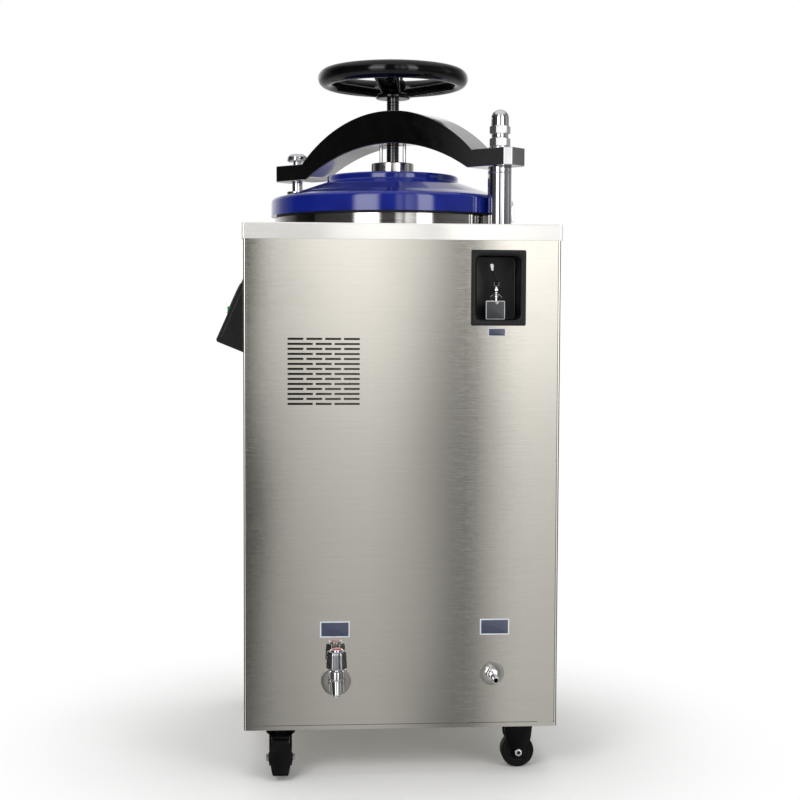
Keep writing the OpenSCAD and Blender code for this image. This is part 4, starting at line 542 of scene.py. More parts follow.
def make_finishes(sizes):
    """Builds the shared effects once and then every material of the part."""
    for build in (grain_effect, turned_effect, smudge_effect, dust_effect, speckle_effect):
        build()
    axis = tuple(AXIS)
    pivot = tuple(AXIS + on_beam(COLUMN_D, 0) * 0.001)
    latch = tuple(AXIS - on_beam(COLUMN_D, 0) * 0.001)
    steel, pale = tone(178, 176, 170), tone(205, 204, 200)
    LOOKS.update(
        panel=brushed("Brushed Cabinet Steel", tuple(sizes.steel_colour), shade(sizes.steel_colour, 0.94),
                      (26.0, 26.0, 2300.0), (0.055, 0.075), waves=0.0011, spread=1.0, depth=0.00003),
        # painted light: a lit copy of the cabinet's panel steel, made near white and mostly non-metal so the
        # top cover reads brightly lit; its brushed grain is real
        cover=brushed("Brushed Cover Steel Painted Light", tone(248, 246, 242), tone(238, 236, 231),
                      (26.0, 26.0, 2300.0), (0.1, 0.13), waves=0.0004, spread=0.9, metal=0.27),
        frame=moulded("Grey Frame Paint", tone(70, 71, 73), (0.35, 0.5)),
        flange=brushed("Turned Flange Steel", tone(200, 198, 194), tone(150, 147, 142),
                       (60.0, 60.0, 1500.0), (0.05, 0.09), turn=0.0, spread=0.3),
        vessel=brushed("Vessel Steel", pale, steel, (40.0, 40.0, 1800.0), (0.2, 0.32)),
        basket=brushed("Basket Steel", pale, steel, (70.0, 70.0, 1300.0), (0.14, 0.24)),
        pipe=chrome("Drawn Pipe Steel", tone(170, 168, 164), (0.2, 0.32)),
        wool=wool("Glass Wool", tone(214, 210, 190)),
        column=chrome("Column Chrome", tone(214, 214, 217), (0.03, 0.1), pivot),
        latch=chrome("Latch Post Chrome", tone(214, 214, 217), (0.03, 0.1), latch),
        bright=chrome("Bright Nut Chrome", tone(222, 222, 224), (0.05, 0.14)),
        disc=chrome("Thrust Disc Chrome", tone(205, 202, 197), (0.1, 0.24), axis),
        tap=chrome("Tap Chrome", tone(226, 226, 228), (0.02, 0.08)),
        knob=chrome("Satin Tap Handle", tone(172, 174, 177), (0.1, 0.2)),
        rose=chrome("Satin Wall Rose", tone(178, 176, 170), (0.12, 0.18), None, 0.04),
        zinc=chrome("Zinc Axle Nut", tone(196, 196, 198), (0.22, 0.36)),
        beam=chrome("Polished Beam Steel", tuple(sizes.beam_colour), (0.05, 0.1), None, 0.06),
        brass=chrome("Turned Brass", tone(196, 160, 92), (0.18, 0.3), axis),
        spindle=chrome("Oiled Spindle Steel", tone(88, 87, 88), (0.06, 0.1), None, 0.03),
        lid=enamel("Cobalt Lid Enamel", tuple(sizes.lid_colour), (0.07, 0.12), 0.25, 0.00002, 0.05),
        wheel=enamel("Black Wheel Enamel", tone(4, 4, 6), (0.1, 0.16), 0.45, 0.00001, 0.015, 0.1),
        gauge=enamel("Black Gauge Paint", tone(18, 18, 19), (0.25, 0.4), 0.4),
        box=moulded("Black Box Paint", tone(13, 13, 15), (0.32, 0.44), 1100.0, level=0.3, dust=0.04),
        recess=moulded("Black Recess Plastic", tone(8, 8, 9), (0.3, 0.42), level=0.32, dust=0.02),
        fascia=moulded("Fascia Film", tone(52, 56, 62), (0.25, 0.35), 2200.0, 0.00002, 0.05),
        window=enamel("Dark Window", tone(10, 12, 16), (0.05, 0.08), 1.0, 0.00001, 0.03),
        lever=moulded("White Lever Plastic", tone(236, 236, 232), (0.25, 0.38), 1600.0, 0.00003, 0.04),
        keys=moulded("Key Plastic", tone(214, 214, 210), (0.35, 0.48), 1500.0, 0.00004, 0.04),
        rocker=moulded("Green Rocker Plastic", tone(26, 128, 70), (0.18, 0.3), 1500.0, 0.00002, 0.04),
        label=enamel("Slate Blue Plate", tuple(sizes.label_colour), (0.3, 0.42), 0.2, 0.00002, 0.03),
        border=enamel("Pale Plate Border", tone(214, 219, 226), (0.3, 0.42), 0.2, 0.00002, 0.03),
        tag=moulded("Dark Tag Face", tone(46, 48, 52), (0.3, 0.45), 1300.0, 0.00003, 0.04),
        tag_rim=moulded("Pale Tag Rim", tone(196, 198, 202), (0.35, 0.5), 1300.0, 0.00003, 0.04),
        red=enamel("Red Tap Mark", tone(196, 22, 40), (0.25, 0.35), 0.5, 0.00002, 0.03),
        seal=moulded("Seal Rubber", tone(20, 20, 21), (0.45, 0.6), 900.0, 0.00005, 0.08),
        caster=enamel("Black Caster Paint", tone(5, 5, 6), (0.2, 0.32), 0.0, 0.00002, 0.012, 0.1),
        tyre=moulded("Tyre Rubber", tone(9, 9, 10), (0.4, 0.55), 700.0, 0.0001, 0.02, 0.12),
        box_edge=moulded("Box Edge Paint", tone(44, 43, 48), (0.3, 0.42), 1100.0, level=0.4, dust=0.04),
        amber=enamel("Amber Lamp", tone(226, 150, 30), (0.15, 0.25), 0.6, 0.00001, 0.02),
        gland=moulded("Gland Nylon", tone(12, 12, 13), (0.35, 0.5), dust=0.03, level=0.2),
        dial=moulded("White Dial Enamel", tone(236, 236, 232), (0.35, 0.45), 1800.0, 0.00001, 0.0),
        ink=moulded("Dial Ink", tone(20, 20, 22), (0.4, 0.5), 1800.0, 0.00001, 0.0),
        glass=glass("Gauge Glass"),
    )


CARRIED = {
    "panel": ("front_panel", "back_panel", "left_panel", "base_frame"),
    "frame": ("vessel_stand",),
    "vessel": ("chamber", "lid_liner"),
    "flange": ("chamber_flange",),
    "wool": ("insulation_jacket",),
    "pipe": ("heating_element", "probes", "drain_pipe", "exhaust_pipe"),
    "basket": ("support_grid", "basket", "basket_bail"),
    "brass": ("spindle_nut",),
}


def chosen(name, description, *screen):
    """Colour to choose, with its default given as the screen shows it."""
    return FloatVectorProperty(name=name, description=description, subtype="COLOR", default=tone(*screen),
                               min=0, max=1)


class AutoclaveSizes(bpy.types.PropertyGroup):
    """Sizes and colours of the dressed autoclave."""

    grip_radius: FloatProperty(name="Grip radius", description="Half of the handwheel's grip across",
                               default=0.0151, min=0.012, max=0.0151, unit="LENGTH")
    beam_edge: FloatProperty(name="Beam edge", description="Rounding along the beam's edges", default=0.0012,
                             min=0.0005, max=0.004, unit="LENGTH")
    lid_colour: chosen("Lid colour", "Enamel of the lid", 17, 33, 128)
    steel_colour: chosen("Cabinet steel", "Tint of the cabinet's panels", 214, 210, 201)
    beam_colour: chosen("Beam steel", "Tint of the polished beam", 196, 196, 198)
    label_colour: chosen("Plate colour", "Field of the blank plates", 56, 63, 86)


# Operators

class StageOperator(bpy.types.Operator):
    """Lay the pale floor, set the studio light and place the camera"""

    bl_idname = "autoclave.stage"
    bl_label = "Stage, Light and View"

    def execute(self, context):
        scene = context.scene
        scene.view_settings.view_transform = "Standard"
        self.floor()
        self.world(scene)
        self.lamps()
        self.camera(scene)
        return {"FINISHED"}

    def lamps(self):
        """Four soft boxes, each turned from its place towards a point on the object."""
        for name, power, size, at, aim in (
                ("Key Softbox", 26.0, (1.2, 1.6), (-1.5, -2.3, 2.1), (0.0, 0.0, 0.6)),
                ("Fill Softbox", 16.0, (1.2, 1.8), (1.9, -2.2, 1.6), (0.0, 0.0, 0.5)),
                ("Top Softbox", 18.0, (1.8, 1.8), (0.2, 0.3, 2.9), (0.0, 0.0, 0.8)),
                ("Back Softbox", 14.0, (1.6, 1.6), (-0.8, 2.6, 1.7), (0.0, 0.0, 0.6))):
            light = bpy.data.lights.new(name, "AREA")
            light.shape = "RECTANGLE"
            light.size, light.size_y = size
            light.energy = power
            lamp = placed(name, light)
            turn = (Vector(aim) - Vector(at)).to_track_quat("-Z", "Y").to_matrix().to_4x4()
            lamp.matrix_world = Matrix.Translation(at) @ turn
            lamp.visible_glossy = False

    def camera(self, scene):
        """Camera at the photograph's place: forward from yaw and pitch, right and up turned by the roll."""
        yaw, pitch, roll = -0.07516, -0.05891, 0.004273
        ahead = Vector((-math.sin(yaw) * math.cos(pitch), math.cos(yaw) * math.cos(pitch), math.sin(pitch)))
        level = Vector((math.cos(yaw), math.sin(yaw), 0))
        right = level * math.cos(roll) + level.cross(ahead) * math.sin(roll)
        above = right.cross(ahead)
        data = bpy.data.cameras.new("Photo View")
        data.lens, data.sensor_width, data.sensor_fit = 66.56, 36.0, "HORIZONTAL"
        view = placed("Photo View", data)
        turn = Matrix((right, above, -ahead)).transposed().to_4x4()
        view.matrix_world = Matrix.Translation((-0.1586, -2.605, 0.7522)) @ turn
        scene.camera = view

    def floor(self):
        """Round pale floor: near the object it takes shadows, further out the camera sees plain white.
        Reflections pass through it to the studio's walls."""
        mesh = bpy.data.meshes.new("Studio Floor")
        t = np.arange(96) / 96 * 2 * math.pi
        radii = (0.0, 0.5, 1.0, 2.0, 4.0, 9.0, 30.0)
        points, quads, _ = grid([np.stack([r * np.cos(t), r * np.sin(t), t * 0], 1) for r in radii])
        mesh.from_pydata(points.tolist(), [], quads[:, ::-1].tolist())

        def upwards(bm):
            if sum(f.normal.z for f in bm.faces) < 0:
                bmesh.ops.reverse_faces(bm, faces=bm.faces)
        weld(mesh, 1e-6, outwards, upwards)
        floor = placed("Studio Floor", mesh)
        f = Finish("Pale Studio Floor", Roughness=0.8, Specular_IOR_Level=0.2)
        f.colour(f.span(f.noise(5.0), 0, 1), (0.93, 0.93, 0.925), (0.96, 0.96, 0.955))
        far = span(f.tree, vector(f.tree, "LENGTH", f.place), 0.3, 0.75, kind="SMOOTHSTEP")
        path = wire(f.tree, "ShaderNodeLightPath").outputs
        seen = calc(f.tree, "MAXIMUM", path["Is Camera Ray"], path["Is Transmission Ray"])
        glow = wire(f.tree, "ShaderNodeEmission", {"Color": (1, 1, 1, 1), "Strength": 1.0}).outputs[0]
        plain = mix_shaders(f.tree, calc(f.tree, "MULTIPLY", far, seen), f.shader.outputs[0], glow)
        clear = wire(f.tree, "ShaderNodeBsdfTransparent").outputs[0]
        last = mix_shaders(f.tree, path["Is Glossy Ray"], plain, clear)
        f.tree.links.new(last, f.tree.nodes["Material Output"].inputs["Surface"])
        mesh.materials.append(f.material)

    def world(self, scene):
        """White for the camera and through glass. Polished metal sees a studio: bright strips by compass
        direction over darker walls, fading from a light ceiling to a dim low wall. Soft even fill."""
        world = bpy.data.worlds.new("Studio World")
        scene.world = world
        world.use_nodes = True
        tree = world.node_tree
        tree.nodes.clear()
        path = wire(tree, "ShaderNodeLightPath").outputs
        seen = calc(tree, "MAXIMUM", path["Is Camera Ray"], path["Is Transmission Ray"])
        white = (1, 1, 1, 1)
        fill, gloss, plain = (
            wire(tree, "ShaderNodeBackground", {"Color": colour, "Strength": strength}).outputs[0]
            for colour, strength in ((white, 0.55), (self.room(tree), 1.0), (white, 1.0)))
        inside = mix_shaders(tree, path["Is Glossy Ray"], fill, gloss)
        end = wire(tree, "ShaderNodeOutputWorld")
        tree.links.new(mix_shaders(tree, seen, inside, plain), end.inputs["Surface"])

    def room(self, tree):
        """Colour of the studio in a direction: strips by compass direction, 0 straight behind the viewer,
        their left edge bowed near one height, times a brightness by height, with a ceiling and a ground."""
        bands = [(-180, 1.0), (-150, 0.95), (-130, 0.35), (-108, 0.03), (-83.9, 0.01), (-83.5, 0.055),
                 (-42, 0.1), (-37, 4.4), (-19, 4.4), (-15, 0.1), (-2.0, 0.1), (-1.5, 0.75), (-0.4, 0.95),
                 (2.4, 1.5), (4.5, 1.15), (5.8, 0.72), (6.8, 0.4), (7.3, 0.16), (7.45, 1.6), (9.0, 1.75),
                 (16.0, 1.2), (19.0, 0.5), (20.0, 4.4), (32.0, 4.4), (35.0, 0.12), (80.0, 0.3), (88.0, 0.6),
                 (100.0, 0.15), (128, 0.35), (150, 0.95), (180, 1.0)]
        levels = [(-1.0, 0.2), (-0.3, 0.3), (-0.17, 0.4), (-0.08, 0.52), (0.0, 0.82), (0.05, 1.0), (0.1, 1.1),
                  (0.33, 1.0), (0.4, 0.55), (0.62, 0.6), (0.75, 0.25), (1.0, 0.25)]
        edge_height, bow_reach, soft = -0.125, 0.085, 0.003
        way = split(tree, wire(tree, "ShaderNodeTexCoord").outputs["Generated"])
        compass = calc(tree, "ARCTAN2", way["X"], calc(tree, "MULTIPLY", way["Y"], -1.0))
        turn = span(tree, compass, -math.pi, math.pi)
        strips = grey_ramp(tree, turn, [((angle + 180) / 360, bright) for angle, bright in bands])
        rise = span(tree, way["Z"], -1.0, 1.0)
        rise = grey_ramp(tree, rise, [((height + 1) / 2, bright) for height, bright in levels])
        away = calc(tree, "ABSOLUTE", calc(tree, "ADD", way["Z"], -edge_height))
        bow = span(tree, away, bow_reach, 0.0, math.radians(1.25), math.radians(0.4), "SMOOTHSTEP")
        lit_side = span(tree, calc(tree, "ADD", compass, bow), -soft, soft, kind="SMOOTHSTEP")
        bright = calc(tree, "MAXIMUM", lit_side, calc(tree, "LESS_THAN", compass, -0.2))
        cut = mix(tree, bright, (0.12, 0.12, 0.12), strips)
        walls = mix(tree, rise, (0.1, 0.1, 0.1), cut, clamp_factor=False)
        high = span(tree, way["Z"], 0.55, 0.85, kind="SMOOTHSTEP")
        deep = span(tree, way["Z"], -0.33, -0.6, kind="SMOOTHSTEP")
        return mix(tree, deep, mix(tree, high, walls, (0.8, 0.8, 0.82)), (0.55, 0.55, 0.54))


class FinishesOperator(bpy.types.Operator):
    """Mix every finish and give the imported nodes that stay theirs"""

    bl_idname = "autoclave.finishes"
    bl_label = "Finishes"

    def execute(self, context):
        make_finishes(context.scene.autoclave_sizes)
        for look, nodes in CARRIED.items():
            for node in nodes:
                obj = bpy.data.objects[node]
                if not obj.material_slots:
                    raise RuntimeError("no material slot on " + node)
                for slot in obj.material_slots:
                    slot.material = LOOKS[look]
        return {"FINISHED"}


class CoverOperator(bpy.types.Operator):
    """Fold the top cover: a sheet with rounded rims round the flange's hole"""

    bl_idname = "autoclave.cover"
    bl_label = "Top Cover"

    def execute(self, context):
        low, top, wall = 869.0, 895.0, 1.5
        rim = oblong(514.8, 514.8, 4.0, 8)
        side = rim()
        way = side / np.linalg.norm(side, axis=1)[:, None]

        def hole(radius):
            return way * radius

        f = np.linspace(0, math.pi / 2, 6)
        outer = [(rim(2.5 * (1 - math.cos(a))), top - 2.5 * (1 - math.sin(a))) for a in f[::-1]]
        inner = [(rim(wall + 1.0 * (1 - math.cos(a))), top - wall - 1.0 * (1 - math.sin(a))) for a in f]
        rows = [(hole(207.5), top - wall), (hole(207.5), top - 0.4), (hole(207.9), top)] + outer
        rows += [(side, low + 0.3), (rim(0.3), low), (rim(wall - 0.3), low), (rim(wall), low + 0.3)] + inner
        part = stacked(rows, loop=True)
        piece("Top_Cover", "cabinet", [(part, "cover")], 40)
        eased("Service_Panel", "cabinet", "panel", 0.35, 1)
        return {"FINISHED"}


class LidOperator(bpy.types.Operator):
    """Turn the lid, its seal, the thrust disc and the guide rods"""

    bl_idname = "autoclave.lid"
    bl_label = "Lid, Seal and Thrust Disc"

    def execute(self, context):
        z, foot, top_face = 919.0, 990.67, 1013.67      # lid's rim, and the thrust disc's two faces
        out = [(0, 71.67), (115.5, 71.67), (115.5, 60.67), (180, 38.6), (213.2, 29.87), (213.2, 0.0)]
        under = [(204.05, 0), (204.05, 3), (184.0, 3), (184.0, 0), (174.05, 0), (174.05, 3), (170, 3),
                 (170, 18), (109.5, 54.67), (109.5, 65.67), (0, 65.67)]
        top = lines(out, [0, 4, 2.5, 60, 8, 0.8], 8)
        low = lines([(213.2, 0)] + under, [0, .3, .5, .5, .3, .3, .5, .5, 2, 2, 2, 0], 3)
        lid = lathe(np.vstack([top, low[4:]]) + [0, z], 256)
        piece("Lid", "lid_unit", [(lid, "lid")])
        seal = collar(184.1, 203.9, 915.3, 921.9, 1.2, 5, 192)
        piece("Lid_Seal", "lid_unit", [(seal, "seal")])
        disc = turned([(0, foot), (37.6, foot), (37.6, 994.2), (36.8, 994.8), (36.8, 995.8), (37.6, 996.4),
                       (37.6, top_face), (11.05, top_face), (11.05, 999.5), (0, 999.5)],
                      [0, .5, .2, .3, .3, .2, 1.8, .8, .3, 0], 5, 160)
        piece("Thrust_Disc", "lid_unit", [(disc, "disc")])
        rods = [(collar(0, 3, 1005.7, 1069.7, [0, .3, .8, 0], 4, 48, on_beam(s * 27, 0)), "bright")
                for s in (-1, 1)]
        piece("Guide_Rods", "lid_unit", rods)
        return {"FINISHED"}


class BeamOperator(bpy.types.Operator):
    """Forge the arched beam that carries the lid's screw"""

    bl_idname = "autoclave.beam"
    bl_label = "Beam"

    def execute(self, context):
        edge = context.scene.autoclave_sizes.beam_edge * 1000
        eased("Beam", "swing_beam", "beam", edge, 3, 40)
        return {"FINISHED"}


class ColumnsOperator(bpy.types.Operator):
    """Turn the pivot column, the latch post, their bushes, nuts and the cap nut"""

    bl_idname = "autoclave.columns"
    bl_label = "Columns and Nuts"

    def execute(self, context):
        near, far = on_beam(COLUMN_D, 0), on_beam(-COLUMN_D, 0)
        foot, ear, bush, beam, eye, washer, tip = 859.2, 893.2, 983.5, 994.5, 1023.9, 1027.4, 1061.9
        thread, hexagon_across = 10.05, 30
        post = turned([(0, foot), (10, foot), (10, ear), (20, ear), (20, bush), (10, bush), (10, tip),
                       (0, tip)], [0, 1, .2, .2, 1.0, .2, 1, 0], 5, 128, near)
        lug = put(slab(oblong(8, 27, 1.2), 12, 24, 1.2), on_beam(COLUMN_D, 916.5), (0, -1, 0), (1, 0, 0))
        piece("Pivot_Column", "cabinet", [(post, "column"), (lug, "column")])
        head = turned([(0, foot), (10, foot), (10, ear), (20, ear), (20, 976.5), (10, 976.5), (10, 1023),
                       (8, 1023.7), (8, 1031.7), (17, 1031.7), (19.5, 1034.5), (18.2, 1041.5), (12, 1046.0),
                       (0, 1047.2)], [0, 1, .2, .2, 1.0, .2, .3, .2, .5, 1, 2.5, 4, 6, 0], 6, 128, far)
        piece("Latch_Post", "cabinet", [(head, "latch")])
        under = collar(thread, 20, bush, beam, [.2, .8, .8, .2], 4, 128, near)
        over = collar(thread, 18.5, eye, washer, [.2, .6, .9, .2], 4, 128, near)
        piece("Pivot_Bushes", "cabinet", [(under, "column"), (over, "bright")])
        flat_on = (0.5, -math.sqrt(0.75), 0)
        nuts = [put(nut(hexagon_across, 14.5, thread), on_beam(s * COLUMN_D, z), flat_on)
                for s, z in ((1, washer), (1, 862.7), (-1, 862.7))]
        piece("Column_Nuts", "cabinet", [(n, "bright") for n in nuts])
        r = 14.95
        top = dome(r, 1073.95, 0, math.pi / 2, 14)
        cap = [collar(thread, 14, 1041.9, 1048.4, [.2, .6, .2, .2], 4, 96, near),
               lathe([(0, 1061.5), (r - .6, 1061.5), (r, 1062.1)] + top, 96, near),
               put(nut(hexagon_across, 14, thread), on_beam(COLUMN_D, 1047.9), flat_on)]
        piece("Cap_Nut", "cabinet", [(part, "bright") for part in cap])
        return {"FINISHED"}


class WheelOperator(bpy.types.Operator):
    """Cast the handwheel with its ribbed spokes, and turn the spindle and its cap nut"""

    bl_idname = "autoclave.wheel"
    bl_label = "Handwheel and Spindle"

    def execute(self, context):
        z, radius, rise = 1126.7, 116.8, 34.6      # hub's foot, grip's radius and height over that foot
        grip = context.scene.autoclave_sizes.grip_radius * 1000
        look = "wheel"
        parts = [(ring(radius, grip, 192, 40, (0, 0, z + rise)), look)]
        hub = turned([(9.05, 0), (30, 0), (30, 8), (22, 8), (22, 32), (9.05, 32)],
                     [.4, 2, 2.5, 4, 2.5, .5], 6, 128, (0, 0, z))
        parts.append((hub, look))
        slope = math.atan2(rise - 8 - 3, radius)
        for i in range(3):
            turn = math.radians(-100 + 120 * i)
            flat = math.cos(slope)
            out = np.array([math.cos(turn) * flat, math.sin(turn) * flat, math.sin(slope)])
            side = np.array([-math.sin(turn), math.cos(turn), 0])
            parts.append((self.spoke(np.array([0, 0, z + 8]), out, side), look))
        piece("Handwheel", "screw", parts, 42)
        cap = 14.95
        top = dome(cap, z + 40, 0, math.pi / 6, 8) + [(0, z + 40 + cap / 2)]
        nuts = [(put(nut(30, 8, 9.05), (0, 0, z + 32)), look),
                (lathe([(0, z + 39.5), (cap - .5, z + 39.5)] + top, 96), look)]
        piece("Wheel_Nut", "screw", nuts)
        self.spindle(z)
        return {"FINISHED"}

    def spoke(self, hub, out, side):
        """Spoke: a channel section of a web with a rib under each edge, its width going evenly from hub to
        grip with a flare at both ends, carried along a straight line."""
        s = np.r_[np.linspace(6, 34, 8), np.linspace(38, 92, 12), np.linspace(95, 112, 8)]
        width = 30 + (s / 112) * 13
        flare = 1.5 * np.exp(-((s - 20) / 9) ** 2) + 1.5 * np.exp(-((s - 112) / 8) ** 2)
        w = (width + flare) / 2
        rib, deep, web = 5.0, 9.0, 6.0

        def section(half):
            return lines([(half, web), (-half, web), (-half, -deep), (-half + rib, -deep), (-half + rib, 0),
                          (half - rib, 0), (half - rib, -deep), (half, -deep)],
                         [2.2, 2.2, 1.6, 1.4, 2.5, 2.5, 1.4, 1.6], 4, True)
        base, wide = section(15.0), section(21.5)
        k = ((w - 15) / 6.5)[:, None, None]
        flat = (1 - k) * base + k * wide
        above = np.cross(out, side)
        rows = hub + s[:, None, None] * out + flat[..., :1] * side + flat[..., 1:] * above
        return grid(rows, caps=True)

    def spindle(self, z):
        """Spindle: a plain foot and neck, and between them a thread whose radius falls and rises once a
        pitch along the axis, later by the turn round it."""
        low, high, pitch, n = 999.67, z, 5.0, 64
        h = np.r_[low, low + 0.5, np.linspace(low + 6, high - 4, 230), high]
        t = np.arange(n) / n * 2 * math.pi
        phase = np.mod(h[:, None] / pitch - t[None] / (2 * math.pi), 1)
        tooth = np.clip(np.abs(phase - 0.5) * 4 - 0.5, 0, 1)
        run = ((h > low + 5) & (h < high - 3)).astype(float)[:, None]
        radius = 11 - 0.35 * run * (1 - tooth) - 0.4 * (h[:, None] == low)
        rows = np.stack([radius * np.cos(t), radius * np.sin(t), np.repeat(h[:, None], n, 1)], -1)
        neck = collar(0, 9, z, z + 40, [0, .2, .8, 0], 4, 64)
        parts = [(grid(rows, caps=True), "spindle"), (neck, "spindle")]
        piece("Spindle", "screw", parts, 50)


class PlatesOperator(bpy.types.Operator):
    """Make the three blank plates with their pale borders"""

    bl_idname = "autoclave.plates"
    bl_label = "Blank Plates"

    def execute(self, context):
        parts = []
        for x, z, w, h, border in ((-108.4, 241, 48.2, 26.4, 2.1), (151.5, 242.5, 48.2, 26.4, 2.1),
                                   (151.5, 721.55, 28, 13, 1.1)):
            field = slab(oblong(w - 2 * border, h - 2 * border, .6), 0.1, 0.58, 0.08, 0.02)
            parts.append((on_panel(slab(oblong(w, h, 1.2), 0, 0.5, 0.2, 0.05), x, z), "border"))
            parts.append((on_panel(field, x, z), "label"))
        piece("Blank_Plates", "cabinet", parts, node="label_plates")
        return {"FINISHED"}


class TapOperator(bpy.types.Operator):
    """Make the drain tap with its rose, spout and handle"""

    bl_idname = "autoclave.tap"
    bl_label = "Drain Tap"

    def execute(self, context):
        x, z, y = -106.5, 157.0, -285
        rose = turned([(9.3, 0), (24.4, 0), (24.4, 2.2), (23.6, 3.0), (9.3, 3.0)],
                      [.1, .2, .3, .8, .2], 5, 128)
        piece("Tap_Rose", "cabinet", [(on_panel(rose, x, z), "rose")])
        body = lines([(0, -13.2), (9, -13.2), (9, 9), (8.2, 10), (8.2, 12), (9, 13), (9, 30), (0, 30)],
                     [0, .5, 1, .6, .6, 1, .5, 0], 4)
        barrel = on_panel(lathe(body, 64), x, z)
        lean = math.radians(27)
        pour = lines([(0, 7), (5.2, 7), (5.2, 0), (6.6, 0), (7.3, 0.8), (7.3, 2.4), (7.7, 6), (8.7, 19),
                      (8.7, 22), (6.5, 27.5), (0, 29.5)], [0, .2, .3, .5, .4, .6, 3, 2, 3, 4, 0], 5)
        spout = put(lathe(pour, 72), (x, y - 15, z - 14.6), (1, 0, 0), (0, math.sin(lean), math.cos(lean)))
        valve = turned([(0, -11), (9.5, -11), (11, -9.5), (11, 7), (10.4, 8), (10.4, 10), (11, 11),
                        (11, 22.5), (9.5, 24), (0, 24)], [0, 1.5, 1, .5, .5, .5, .5, 1, 1, 0], 5, 64,
                        (x, y, z))
        stem = collar(0, 5.5, 23, 38.5, [0, .2, .5, 0], 3, 48, (x, y, z))
        piece("Drain_Tap", "cabinet", [(p, "tap") for p in (barrel, spout, valve, stem)])
        self.handle(x, y)
        return {"FINISHED"}

    def handle(self, x, y):
        """Handle: radius at an angle follows six soft lobes, a hexagon with its corners rounded by a cosine,
        drawn in towards the top and rounded at both rims, with a bore below and a red button on top."""
        n = 120
        t = np.arange(n) / n * 2 * math.pi
        lobes = 0.935 + 0.055 * np.cos(6 * t) + 0.01 * np.cos(12 * t)
        prof = lines([(5.6, 12), (5.6, 0), (15.3, 0), (17, 1.8), (16.6, 8), (15.6, 24), (14.6, 29),
                      (0, 29.0)], [.2, .4, 1, 1.2, 3, 6, 2.5, 0], 5)
        radii = [(r * (lobes if r > 6 else 1), h) for r, h in prof]
        rows = [np.c_[r * np.cos(t), r * np.sin(t), np.full(n, h)] for r, h in radii]
        rows = [np.c_[t * 0, t * 0, t * 0 + 12]] + rows
        cap = turned([(0, 28), (10, 28), (10, 31.6), (8.6, 32.5), (0, 32.5)], [0, .3, .8, 1.2, 0], 4, 64)
        mark = turned([(0, 31.5), (8.2, 31.5), (7.6, 32.5), (0, 32.5)], [0, .2, .5, 0], 3, 64)
        high = 184.0
        parts = [(put(grid(rows), (x, y, high)), "knob"), (put(cap, (x, y, high - 0.4)), "tap"),
                 (put(mark, (x, y, high)), "red")]
        piece("Tap_Handle", "tap_knob", parts)


class NozzleOperator(bpy.types.Operator):
    """Make the steam nozzle with its hexagon and its seat ring"""

    bl_idname = "autoclave.nozzle"
    bl_label = "Steam Nozzle"

    def execute(self, context):
        at = (147.5, 166)
        seat_ring = turned([(7.4, 0), (20, 0), (20, .6), (19.5, 1.0), (7.4, 1.0)], [.1, .1, .2, .3, .1])
        piece("Nozzle_Seat", "cabinet", [(on_panel(seat_ring, *at), "rose")])
        hexagon = nut(17, 9, 3.7, at=(0, 0, 1))
        pipe = turned([(3.7, -14), (7, -14), (7, 1.2), (5.2, 1.2), (5.2, 13), (4.9, 13.6), (5.2, 14.2),
                       (5.2, 18), (4.9, 18.6), (5.2, 19.2), (5.2, 48.6), (4.8, 50), (3.7, 50)],
                      [.1] + [.3] * 9 + [1, .5, .3], 3, 64)
        piece("Steam_Nozzle", "cabinet", [(on_panel(pipe, *at), "tap"),
                                          (on_panel(hexagon, *at), "tap")])
        return {"FINISHED"}


